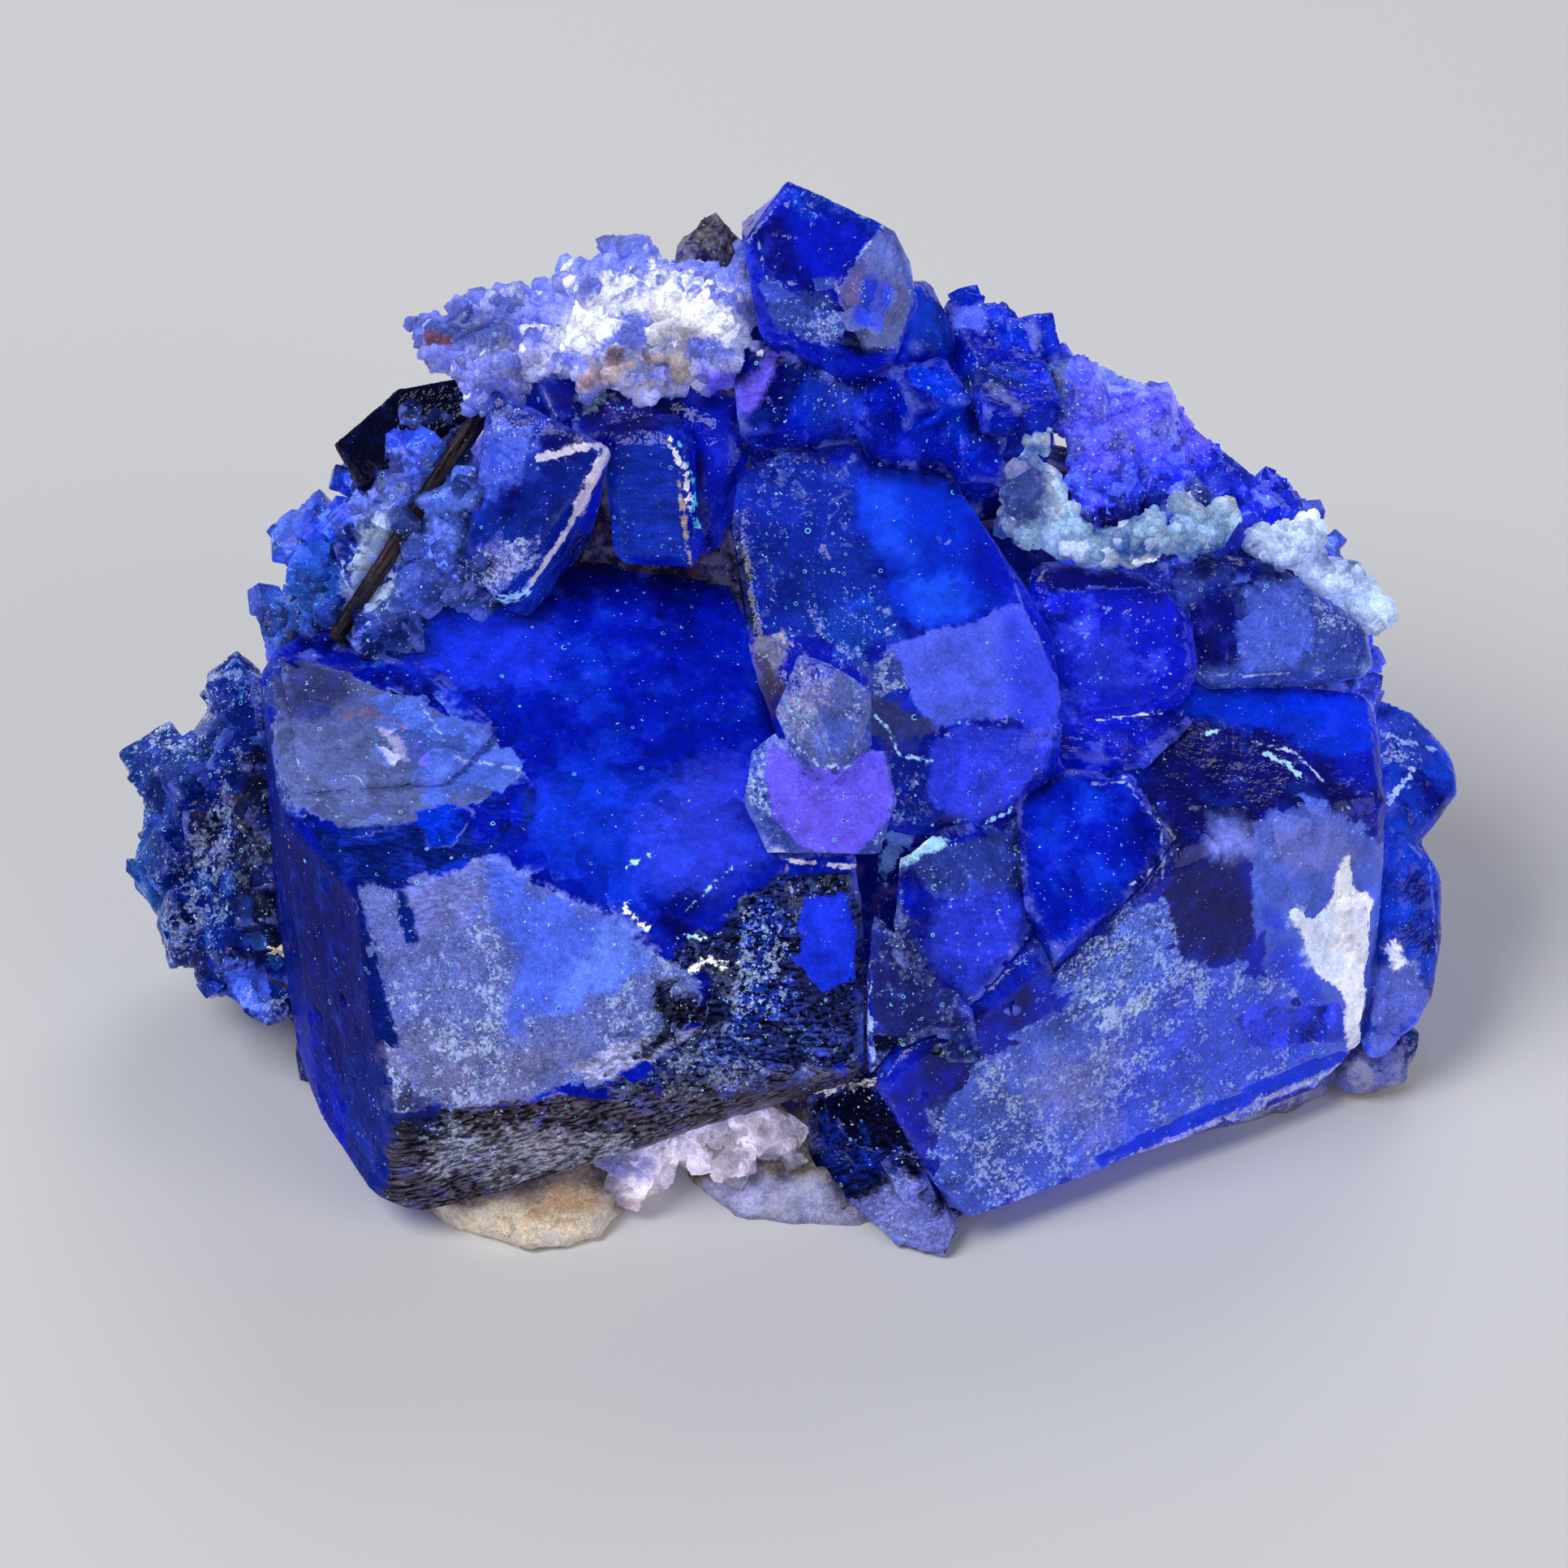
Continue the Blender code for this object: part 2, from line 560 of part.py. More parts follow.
def build(name, spec, above, collection, workshop):
    """Makes one node and cuts it back from everything above it."""
    shapes = list(spec.shapes)
    if spec.grains:
        shapes += grain_blocks(spec.shapes, spec.grains)
    made = to_object(name, mesh_of(shapes[0]), collection)
    for shape in shapes[1:]:
        combine(made, mesh_of(shape), "UNION", workshop)
    for chip in spec.chips:
        combine(made, mesh_of(chip), "DIFFERENCE", workshop)
    for other in above:
        grown = mesh_of(other, GAP)
        if boxes_meet(box_of(made.data), box_of(grown)):
            combine(made, grown, "DIFFERENCE", workshop)
        else:
            grown.free()
    if box_of(made.data)[0][2] < 0:
        ground = block((REACH, REACH, REACH), (0, 0, -REACH / 2))
        combine(made, mesh_of(ground), "DIFFERENCE", workshop)
    clean(made)
    made.data.transform(Matrix.Scale(MM, 4))
    made.data.materials.append(principled(name, MATERIALS[spec.material]))
    return shapes


def stand_at_origin(nodes):
    """Moves the middle of the footprint to the origin and the underside to the ground."""
    boxes = [box_of(made.data) for made in nodes]
    low = [min(box[0][i] for box in boxes) for i in range(3)]
    high = [max(box[1][i] for box in boxes) for i in range(3)]
    shift = Vector((-(low[0] + high[0]) / 2, -(low[1] + high[1]) / 2, -low[2]))
    for made in nodes:
        made.data.transform(Matrix.Translation(shift))


def main():
    clear_scene()
    collection = bpy.data.collections.new("fluorite_cluster")
    workshop = bpy.data.collections.new("cutters")
    bpy.context.scene.collection.children.link(collection)
    bpy.context.scene.collection.children.link(workshop)
    above = []
    for name, spec in SPECIMEN.items():
        above += build(name, spec, above, collection, workshop)
    stand_at_origin(collection.objects)


if __name__ == "__main__":
    main()
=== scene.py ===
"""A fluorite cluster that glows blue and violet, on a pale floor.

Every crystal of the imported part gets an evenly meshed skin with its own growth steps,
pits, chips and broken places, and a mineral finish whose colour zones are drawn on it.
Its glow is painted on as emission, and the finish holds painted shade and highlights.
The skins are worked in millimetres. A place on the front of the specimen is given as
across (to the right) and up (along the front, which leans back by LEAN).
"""

import math
import random
from dataclasses import dataclass

import bmesh
import bpy
import numpy as np
from mathutils import Euler, Matrix, Vector, noise
from mathutils.bvhtree import BVHTree


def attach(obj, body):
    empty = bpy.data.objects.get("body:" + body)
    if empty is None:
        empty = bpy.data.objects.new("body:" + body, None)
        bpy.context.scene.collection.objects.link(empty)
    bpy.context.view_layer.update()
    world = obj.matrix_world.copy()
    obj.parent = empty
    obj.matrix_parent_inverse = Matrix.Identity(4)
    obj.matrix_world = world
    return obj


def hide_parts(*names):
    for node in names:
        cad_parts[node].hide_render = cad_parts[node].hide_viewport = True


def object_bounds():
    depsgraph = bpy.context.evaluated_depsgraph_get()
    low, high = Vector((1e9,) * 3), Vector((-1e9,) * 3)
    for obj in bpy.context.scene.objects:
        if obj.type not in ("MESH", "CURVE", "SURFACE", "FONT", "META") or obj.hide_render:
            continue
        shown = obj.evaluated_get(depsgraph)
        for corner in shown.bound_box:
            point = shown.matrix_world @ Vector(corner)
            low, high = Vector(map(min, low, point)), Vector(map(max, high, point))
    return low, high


MM = 0.001     # metres in one millimetre
LEAN = math.radians(40)    # how far the front of the specimen leans back
CLOSE = 0.13   # how far a skin grows, in mm, to meet its neighbours
FAR = 4.0      # distances to a zone's edge are kept within this, in mm
ROOM = 2.5     # how far to look for a neighbour, in mm
WORN_EDGE = (0.015, 0.06)    # how sharp an edge starts to wear, and wears most; the lighter edge tone, partly painted highlight, follows it too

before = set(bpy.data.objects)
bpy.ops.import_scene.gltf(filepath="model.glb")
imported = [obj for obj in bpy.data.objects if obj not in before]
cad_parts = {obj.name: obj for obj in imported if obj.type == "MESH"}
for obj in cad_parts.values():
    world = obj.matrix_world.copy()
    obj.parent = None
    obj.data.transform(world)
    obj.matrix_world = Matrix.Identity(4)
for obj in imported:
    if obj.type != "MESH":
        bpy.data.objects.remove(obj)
cad_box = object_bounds()


# ---------------------------------------------------------------------------
# Colours, as they look on a screen
# ---------------------------------------------------------------------------
def paint(red, green, blue):
    """A colour in the numbers of light, from its screen values of 0 to 255."""
    def light(value):
        value /= 255
        return value / 12.92 if value < 0.04045 else ((value + 0.055) / 1.055) ** 2.4
    return (light(red), light(green), light(blue), 1.0)


TONES = {
    "ink": (3, 5, 34), "night": (5, 7, 92), "deep": (4, 20, 166), "blue": (13, 50, 204),
    "cobalt": (3, 46, 206), "azure": (26, 78, 242), "royal": (26, 50, 216),
    "vivid": (26, 38, 226), "navy": (8, 28, 118), "sea": (14, 44, 160),
    "lagoon": (18, 62, 188), "teal": (30, 72, 150), "violet": (44, 60, 212),
    "iris": (78, 96, 234), "orchid": (102, 87, 235), "plum": (42, 36, 138),
    "lobe": (72, 98, 220), "sky": (94, 124, 236), "lavender": (74, 98, 208),
    "frost": (94, 106, 182), "haze": (108, 114, 192), "slate": (48, 66, 146),
    "window": (84, 96, 156), "pane": (70, 97, 200), "smoke": (46, 52, 104),
    "char": (28, 34, 82), "soot": (16, 16, 42), "stone": (66, 62, 80),
    "ash": (118, 116, 134), "rose": (118, 92, 132), "cyan": (86, 196, 238),
    "ice": (160, 214, 246), "snow": (238, 240, 252), "pale": (178, 198, 240),
    "milk": (168, 170, 218), "lilac": (116, 130, 236), "mint": (136, 166, 204),
    "bone": (204, 198, 214), "cream": (226, 210, 188), "sand": (170, 152, 134),
    "ochre": (168, 128, 92), "rust": (84, 44, 42), "umber": (48, 38, 44),
    "grey": (112, 110, 132),
}
PAINTS = {name: paint(*value) for name, value in TONES.items()}


# ---------------------------------------------------------------------------
# What each crystal gets
# ---------------------------------------------------------------------------
@dataclass
class Look:
    """The form and finish of a crystal. What has no note is a strength from 0 to 1."""

    tones: tuple               # the dark, middle and light colour
    cell: float = 0.30         # size of the skin's faces, in mm
    waves: float = 0.08        # height of the unevenness, in mm
    steps: float = 0.08        # height of the growth steps, in mm
    pits: float = 0.35
    chips: float = 0.4         # how much of the edges is broken away
    pit_glint: float = 0.4       # how many etch pits are drawn, each with painted shade and a painted highlight
    matte: float = 0.12
    # how strongly the colour glows as emission: painted light, since no lamp here makes it
    # fluoresce
    painted_glow: float = 0.55
    clear: float = 0.5         # how much light goes through
    mirror: float = 0.15
    speck: float = 0.2
    streak: float = 0.0
    turn: tuple = (0, 0, 0)    # the way the streaks run
    shard: float = 0.3         # how much its inner plates differ
    mixed: float = 0.0         # how much its small crystals differ
    hue: float = 0.25
    hues: tuple = ("violet", "lagoon")    # two tones that show here and there
    # how much sharp edges take the edge tone: partly wear, partly painted highlight
    worn: float = 0.35
    edge: str = "lilac"        # the tone of worn edges, partly painted highlight, and of the painted highlight on zone rims
    # how much painted shade fills the grooves
    groove_shade: float = 0.5
    contact_shade: float = 0.85         # how much painted shade it gets against its neighbours
    shade_tone: str = "ink"       # the tone of the painted shade in grooves and near a neighbour
    bump: float = 0.5
    density: float = 0.0       # how strongly it absorbs light inside
    through: str = "azure"     # the tone of light that has gone through it


@dataclass
class Zone:
    """An area or a line drawn on a crystal. What has no note is a strength from 0 to 1,
    and None leaves the crystal's own."""

    tone: str
    outline: tuple             # the area's outline or the line's points
    wide: float = 0.0          # a line's width, in mm
    soft: float = 0.3          # width of the soft edge, in mm
    ragged: float = 0.5        # how uneven the edge is, in mm
    lift: float = 0.0          # how far it stands out, in mm
    rough: float = 0.0         # depth of its broken surface, in mm
    # rim: how much painted highlight runs along its edge
    rim: float = 0.0
    strength: float = 1.0
    matte: float = None
    speck: float = None
    streak: float = None
    shard: float = None


@dataclass
class Crop:
    """Small crystals that stand on a skin."""

    count: int
    small: float      # smallest and largest size, in mm
    large: float
    facing: tuple     # the side they are on
    least: float      # how squarely a face has to face it, as a cosine
    order: float      # how much they lie in line with one another
    shape: str        # cube, bead or chunk
    seed: int


def zone(tone, *outline, **finish):
    return Zone(tone, outline, **finish)


def vein(tone, wide, *line, soft=0.12, ragged=0.3, matte=0.5, **finish):
    return Zone(tone, line, wide, soft, ragged, matte=matte, **finish)


LOOKS = {
    "large_left_cube": Look(
        ("night", "deep", "blue"), cell=0.34, turn=(0, 0.25, 0.3), mirror=0.03, speck=0.06,
        pit_glint=0.8, clear=0, painted_glow=0.42),
    "notch_crystal": Look(("night", "deep", "blue"), speck=0.15, clear=0, mirror=0.05, painted_glow=0.45),
    "large_right_cube": Look(
        ("night", "deep", "blue"), cell=0.34, pit_glint=0.8, speck=0.15, worn=0.15),
    "centre_rounded_crystal": Look(("navy", "deep", "blue"), waves=0.14, pit_glint=0.8, density=60),
    "small_violet_cube": Look(
        ("plum", "slate", "lilac"), matte=0.25, speck=0.5, pit_glint=0.8, density=60),
    "front_blue_crystals": Look(
        ("night", "deep", "blue"), chips=0.6, pit_glint=0.9, speck=0.15, clear=0, mirror=0.05,
        painted_glow=0.5),
    "low_front_crystals": Look(
        ("ink", "ink", "navy"), chips=0.6, pit_glint=0.5, speck=0.3, streak=0.8, turn=(0, 1, 0.5),
        matte=0.08, clear=0, mirror=0.05),
    "right_violet_cube": Look(
        ("night", "deep", "vivid"), pit_glint=0.8, hue=0.5, hues=("iris", "deep")),
    "right_upper_crystal": Look(("night", "slate", "lavender"), speck=0.45, density=60),
    "right_edge_crystals": Look(("night", "lagoon", "sea"), matte=0.06, speck=0.2, density=60),
    "top_crystals": Look(
        ("ink", "deep", "cobalt"), matte=0.06, pit_glint=0.6, shard=0.4, speck=0.12, density=60),
    "upper_blue_crystals": Look(
        ("night", "deep", "blue"), chips=0.6, pit_glint=1, speck=0.2, streak=0.1, clear=0,
        mirror=0.05, painted_glow=0.42),
    "ridge_crystals": Look(
        ("night", "deep", "blue"), chips=0.6, pit_glint=0.8, speck=0.3, mixed=0.4, clear=0),
    "upper_left_crystals": Look(
        ("night", "deep", "cobalt"), chips=0.5, speck=0.12, mirror=0.08, painted_glow=0.48),
    "veined_crystal": Look(("night", "sea", "lagoon"), speck=0.2, pit_glint=0.6, mirror=0.08),
    "long_blade": Look(
        ("soot", "umber", "umber"), cell=0.18, waves=0.02, steps=0, pits=0, chips=0.3, pit_glint=0,
        matte=0.4, painted_glow=0.1, clear=0, speck=0.05, streak=1, turn=(0, 0.89, -0.54), hue=0,
        edge="stone"),
    "short_blade": Look(
        ("ink", "ink", "navy"), cell=0.2, waves=0.04, steps=0.06, pits=0.1, chips=0.6, pit_glint=0.1,
        matte=0.08, painted_glow=0.12, clear=0, speck=0, hue=0.1, worn=0.12, edge="umber"),
    "back_left_crystals": Look(("night", "deep", "lagoon"), clear=0, cell=0.42, speck=0.4),
    "back_right_crystals": Look(("plum", "deep", "violet"), clear=0, cell=0.42, speck=0.4),
    "rock": Look(
        ("umber", "sand", "cream"), cell=0.6, waves=0.5, steps=0, pits=0.5, chips=0.3, pit_glint=0,
        matte=0.75, painted_glow=0.12, clear=0, speck=0.5, edge="bone", shade_tone="umber", hue=0.2,
        hues=("ochre", "grey"), bump=1),
    "white_druse": Look(
        ("haze", "lilac", "snow"), contact_shade=0.6, cell=0.24, waves=0, steps=0, pits=0, chips=0,
        pit_glint=0.3, matte=0.3, painted_glow=0.34, clear=0, speck=0.4, worn=0.5, edge="snow",
        shade_tone="slate", groove_shade=0.9, hue=0.4, hues=("frost", "ash"), mixed=0.5, shard=0.2),
    "left_slope_crystals": Look(
        ("navy", "slate", "pane"), chips=0.6, pit_glint=0.6, speck=0.4, mixed=0.9, shard=0.6,
        clear=0),
    "left_lobe_crystals": Look(
        ("ink", "navy", "teal"), chips=0.7, pit_glint=0.7, speck=0.7, mixed=0.6, shard=0.5, clear=0,
        painted_glow=0.45, mirror=0.1),
    "violet_slope_crystals": Look(
        ("night", "violet", "iris"), chips=0.6, pit_glint=0.9, speck=0.5, mixed=0.8, shard=0.5,
        clear=0),
    "pale_crust_left": Look(
        ("teal", "mint", "bone"), contact_shade=0.6, cell=0.22, waves=0.03, steps=0, pits=0, chips=0,
        pit_glint=0.3, matte=0.35, painted_glow=0.5, clear=0, speck=0.4, worn=0.4, edge="snow", groove_shade=0.9,
        shade_tone="teal", hue=0.3, hues=("ash", "pale"), mixed=0.5),
    "pale_crust_right": Look(
        ("slate", "pale", "snow"), contact_shade=0.6, cell=0.22, waves=0.03, steps=0, pits=0, chips=0,
        pit_glint=0.3, matte=0.35, painted_glow=0.55, clear=0, speck=0.3, worn=0.4, edge="snow", groove_shade=0.8,
        shade_tone="slate", hue=0.3, hues=("mint", "window"), mixed=0.4),
    "front_quartz": Look(
        ("grey", "bone", "snow"), contact_shade=0.6, cell=0.22, steps=0, chips=0.4, pit_glint=0.2, matte=0.06,
        painted_glow=0.26, clear=0.7, speck=0.3, edge="snow", shade_tone="slate", hue=0.3,
        hues=("lavender", "sand"), mixed=0.6, shard=0.6, through="pale", density=25),
}
ZONES = {
    "large_left_cube": (
        # the top face
        zone("royal", (-26.5, 22.8), (-23.9, 25.2), (-19.6, 25.7), (-14.9, 24.5), (-15.3, 20.7),
             (-19.5, 19), (-23.8, 20.1), soft=2.6, ragged=1, strength=0.8),
        zone("blue", (-14.6, 14.8), (-6.7, 13.7), (-5.6, 6.4), (-10.7, 5.9), (-14.9, 8.5),
             (-17.1, 11.6), soft=3, ragged=1.2, strength=0.8),
        zone("violet", (-6.1, 14.2), (-3.3, 14.8), (-1.1, 9), (-4.5, 5.9), (-8.7, 7), (-9.2, 11.1),
             soft=2.8, ragged=1.2, strength=0.8),
        zone("night", (-19.5, 29.4), (-8.9, 29.1), (-6.8, 25.6), (-17.4, 26.2), soft=2.4, ragged=1,
             strength=0.7),
        zone("lagoon", (-28.2, 22.3), (-25.4, 26.2), (-21.1, 25.9), (-24.4, 23.6), (-26.9, 20.6),
             soft=0.8, ragged=1, speck=0.5),
        zone("night", (-20.3, 12.4), (-16.3, 12.7), (-17, 9.8), (-19.1, 10.8), soft=0.6, ragged=1.2,
             strength=0.8),
        # the left face
        zone("navy", (-34.9, 22.4), (-32.6, 11.6), (-27, 6.5), (-24.3, -1.4), (-25.3, -15),
             (-35.7, -14.1), (-36.9, 17), soft=0.5, matte=0.3, speck=0.1, streak=0.2),
        zone("night", (-34.9, 22.4), (-32.6, 11.6), (-27, 6.5), (-25.4, -4), (-29.7, -6),
             (-34.3, 3.4), soft=2.8, ragged=1.8, strength=0.8),
        zone("slate", (-34.5, 21.8), (-32.8, 20.7), (-31, 11.6), (-32.6, 12.1), soft=0.8,
             ragged=0.8, speck=0.6),
        zone("deep", (-33.6, 0.6), (-30.5, -3.9), (-28.1, -10.8), (-28.9, -12.4), (-32.1, -7.8),
             soft=2, ragged=1.4, strength=0.7),
        # the window
        zone("window", (-33.3, 21.5), (-28.6, 20.6), (-23.7, 18.6), (-19.9, 16.8), (-16.9, 14.3),
             (-19.3, 12.1), (-22.3, 11.2), (-28, 10.1), (-31.2, 11.5), (-33.4, 15.3), soft=0.2,
             ragged=0.5, lift=0.12, matte=0.25, rim=0.4, shard=0.5, speck=0.3, streak=0.1),
        zone("smoke", (-33.3, 21.5), (-28.6, 20.6), (-27.4, 18.8), (-30.8, 17.4), (-33.3, 18),
             soft=1.2, ragged=1.2),
        zone("pane", (-27.5, 19.6), (-23.7, 18.6), (-19.9, 16.8), (-16.9, 14.3), (-19.3, 12.1),
             (-22.9, 12.4), (-25.7, 15.8), soft=1.4, ragged=1.8, shard=0.8),
        # a small milky patch in the window: painted highlight
        zone("milk", (-26.4, 16.9), (-24.8, 16.6), (-24, 14.5), (-25.3, 14.8), soft=0.4, ragged=0.8,
             strength=0.8),
        zone("orchid", (-24.6, 16.6), (-23, 16.1), (-23.5, 14.5), (-24.5, 15), soft=0.6, ragged=1,
             strength=0.7),
        vein("rose", 0.3, (-29, 17.7), (-26.9, 18), (-24.7, 16.9), ragged=0.5, strength=0.7),
        vein("ice", 0.10, (-28.5, 13.6), (-27.8, 13.9), (-27.1, 13.3), ragged=0),
        vein("pale", 0.10, (-32.1, 16.1), (-30.3, 12.4), (-28.6, 11.1), ragged=0.3, strength=0.5),
        vein("pale", 0.10, (-23.7, 18.5), (-21.4, 15), (-17.2, 14.2), ragged=0.4, strength=0.5),
        # dark glass under the window
        zone("navy", (-31.2, 11.5), (-28, 10.1), (-22.3, 11.1), (-19.3, 12.1), (-16.7, 12.8),
             (-16.3, 11.1), (-19.1, 8.8), (-24.7, 6.6), (-27, 6.7), (-30.4, 9.5), soft=0.4,
             ragged=0.8, matte=0.08, shard=1, streak=0.4),
        zone("cobalt", (-23.8, 11.4), (-21.3, 12), (-19.7, 11.6), (-21.2, 9.3), (-22.7, 9),
             soft=0.3, ragged=0.4, rim=0.4),
        zone("deep", (-21.3, 11.6), (-17.1, 12.4), (-17.1, 10.8), (-19.6, 9.3), soft=0.6),
        # frosted front
        zone("frost", (-27.3, 7), (-24.7, 6.6), (-19.1, 8.7), (-14.9, 6.9), (-10.8, 4.9),
             (-8.1, 2.8), (-5.2, 0.9), (-5.1, -1.5), (-8.7, -4.7), (-16.6, -6.8), (-24.7, -7.7),
             (-25.4, -1.4), soft=0.35, ragged=0.8, rough=0.08, matte=0.4, rim=0.3, speck=0.9,
             shard=0.2, streak=0),
        zone("grey", (-24.8, -1.9), (-19.1, -3), (-11.9, -3.5), (-17.1, -6.8), (-24.7, -7.7),
             soft=2.4, ragged=1.8, strength=0.45),
        zone("haze", (-24.3, 6.5), (-19, 8.5), (-16.9, 7), (-21.1, 4.4), (-23.6, 3.9), soft=0.9,
             ragged=0.8, streak=0.25, speck=0.3, strength=0.7),
        zone("lobe", (-18.9, 8.3), (-14.9, 6.7), (-10.8, 4.8), (-8.1, 2.8), (-10.8, 0.4),
             (-13.9, -1.4), (-17.8, -2.6), (-17, 1.2), (-19.3, 4.9), soft=1.5, ragged=1.2,
             speck=0.35, matte=0.3),
        zone("sky", (-11.3, 4.6), (-8.1, 2.8), (-10.8, 0.4), (-15, -1.5), (-12.8, 2.3), soft=1.2,
             ragged=0.8, strength=0.8),
        vein("lilac", 0.22, (-24.3, 6.5), (-19, 8.5), (-14.9, 6.8), (-10.8, 4.8), (-8.1, 2.8),
             soft=0.3, ragged=0.4, strength=0.6),
        vein("pale", 0.08, (-23.2, 4.9), (-21.1, 3.3), (-19.6, 0.2), soft=0.1, ragged=0.3,
             strength=0.5),
        vein("pale", 0.08, (-21.8, 6.2), (-19, 3.8), (-17, 3.3), soft=0.1, ragged=0.3,
             strength=0.5),
        zone("milk", (-14.5, -5.2), (-11.9, -3.5), (-5.1, -2.1), (-5.7, -3.1), (-10.8, -5.5),
             soft=0.4, ragged=0.5, streak=0.5, strength=0.75),
        zone("navy", (-24.8, 6.7), (-24.2, 6.6), (-23.3, 3.3), (-24.2, 3.1), soft=0.3, ragged=0.6),
        # broken corner
        zone("char", (-8.1, 2.7), (-4.5, 4.3), (-0.6, 7.9), (4.7, 7.6), (5, -5.1), (-3.5, -6.8),
             (-11.9, -6.6), (-8.7, -4.7), (-5.1, -1.5), (-5.2, 0.9), soft=0.35, ragged=1,
             rough=0.42, matte=0.35, speck=0.5, streak=1, shard=0.5),
        zone("soot", (-8.7, 0.4), (-5.1, 0.6), (-4.6, -2), (-8.7, -4.1), (-10.8, -5.1), (-7.7, -2),
             soft=0.8, ragged=1.4, streak=1, speck=0.4),
        zone("sea", (-3.2, 3.3), (-0.4, 6.4), (0.4, 2.2), (-0.4, -2.1), (-3.5, -3.6), soft=1.2,
             ragged=1.6, speck=1, strength=0.6),
        zone("slate", (-7.2, -4.4), (-3.5, -2.6), (1.7, -1.5), (4.4, -3.7), (-3.5, -6), soft=1.2,
             ragged=1.6, speck=0.7, strength=0.4),
        zone("royal", (1.1, 6.4), (3.8, 6.5), (4.5, 3.7), (4.3, 0.8), (2.3, -0.2), (0.6, 2.2),
             soft=0.2, ragged=0.4, lift=0.2, matte=0.16, speck=0.2, streak=0, shard=0.2),
        # band along the foot
        zone("umber", (-26.2, -13.8), (-24.9, -8.2), (-21.3, -7.6), (-16.6, -7.1), (-11.9, -6.7),
             (-3.5, -6.8), (4.7, -5.2), (5, -6.7), (-3.6, -9.8), (-14.3, -12.7), (-23.7, -15.3),
             soft=0.4, ragged=0.6, rough=0.05, matte=0.35, streak=1, speck=0.4, shard=0.2),
        zone("stone", (-26.2, -13.8), (-24.9, -8.8), (-16.6, -8.1), (-5.6, -5.7), (4.7, -5.2),
             (-3.6, -9), (-14.3, -12), (-23.5, -14.5), soft=1.6, ragged=1.2, strength=0.9),
        zone("ash", (-23.5, -9.4), (-18.2, -8.8), (-9.9, -9.1), (-11.1, -11.2), (-19.4, -12.3),
             (-23.1, -11.8), soft=1.6, ragged=1.2, streak=0.8, speck=1, strength=1),
        zone("soot", (-24.4, -5.9), (-22.1, -6.7), (-22, -9.5), (-24.3, -10.5), (-25, -8.3), soft=1,
             ragged=1, strength=0.8),
        vein("snow", 0.26, (-10.4, 5.7), (-9.7, 4.9), (-8.7, 4.2), ragged=0.5, lift=0.08),
        vein("snow", 0.4, (-6, 1.4), (-5, 2.1), (-4.2, 1.6), (-3.4, 1.9), ragged=0.6, lift=0.1),
        vein("ice", 0.14, (-7, 3.3), (-6.1, 3.8), (-4.5, 3), ragged=0.5),
        vein("ice", 0.05, (-10.2, 8), (-8.2, 9.2), ragged=0.5),
        vein("ice", 0.05, (-6.3, 5.4), (-3.5, 8), ragged=0.5),
        vein("bone", 0.3, (0.3, 8.6), (2.2, 8.4), (4.6, 8.1), ragged=0.3, lift=0.1),
        vein("ash", 0.2, (0.1, 8.4), (0.4, 6.3), ragged=0.3),
        zone("soot", (0.9, 8), (4.4, 7.7), (4.3, 6.5), (1.2, 6.8), soft=0.3, ragged=0.6),
    ),
    "notch_crystal": (
        vein("ice", 0.2, (21, 16.6), (22, 16.3), (22.5, 15), (22, 13.7), ragged=0.4),
        vein("ice", 0.16, (22.5, 15), (23.7, 15.9), (24.6, 16.6), ragged=0.3),
        vein("pale", 0.12, (19.6, 13.3), (22, 13.5), (24.3, 10.6), (24.2, 8.4), (22.1, 6.7),
             ragged=0.2, strength=0.7),
        vein("snow", 0.24, (20.4, 17.6), (22.4, 18), (24.5, 18.2), ragged=0.3),
    ),
    "large_right_cube": (
        zone("cobalt", (25.1, 18), (28, 20.2), (39.4, 18.8), (39.2, 15.6), (35.9, 15.1),
             (31.7, 16.9), (28.4, 17.6), soft=0.8, ragged=0.8, matte=0.08, speck=0.08),
        zone("deep", (34.8, 14.7), (39.8, 15.8), (39.2, 12.4), (35.7, 12.7), soft=0.6),
        zone("night", (23.2, 16.6), (28.4, 17.6), (31.6, 16.7), (35.8, 14.3), (39, 12.4),
             (35.7, 11.1), (31.3, 11.6), (29.7, 7.4), (30.9, 4.7), (29.4, 1.7), (25.6, 1.3),
             (24.3, 5.3), (24.5, 8.5), (22.7, 12.7), soft=1, ragged=1.4, speck=0.12, matte=0.08,
             shard=0.6),
        zone("lavender", (30.2, 10.8), (33.5, 12.4), (36.2, 11.6), (40.2, 8.8), (40.8, -4.3),
             (38.2, -4.4), (31.7, 0.6), (30.7, 5.2), soft=0.5, ragged=0.8, matte=0.3, shard=0.4,
             rim=0.2, speck=0.3),
        zone("haze", (31.5, 10.3), (35.7, 11.3), (38.7, 8.4), (35.9, 7.3), (33.1, 7.6), soft=1.8,
             ragged=1.2, strength=0.7),
        zone("royal", (31.5, 5.2), (33.9, 1.9), (36.4, -2), (34.1, -1.4), (31.7, 1.4), soft=1.4,
             ragged=1.4, strength=0.8),
        zone("lavender", (24.3, 5.8), (25.7, 1.3), (29.4, 1.7), (32.3, 0.3), (38.3, -4.4),
             (37.6, -5.9), (20.5, -12), (11.4, -15.4), (9.4, -13.8), (10.2, -8.4), (12.7, -4.1),
             (17, -2.1), (19.1, 1.1), (22.4, 5.6), soft=0.5, ragged=0.9, speck=0.9, matte=0.36,
             rough=0.06, shard=0.2, rim=0.25),
        zone("violet", (23.9, 1), (31.8, 0.3), (36.6, -4.8), (27.6, -7.3), (19.4, -10.9),
             (21.9, -4.3), soft=2.4, ragged=1.8, strength=0.6),
        zone("haze", (14.3, -4.7), (22.5, -3.5), (21, -8.4), (16, -8.3), soft=2.6, ragged=1.6,
             strength=0.8),
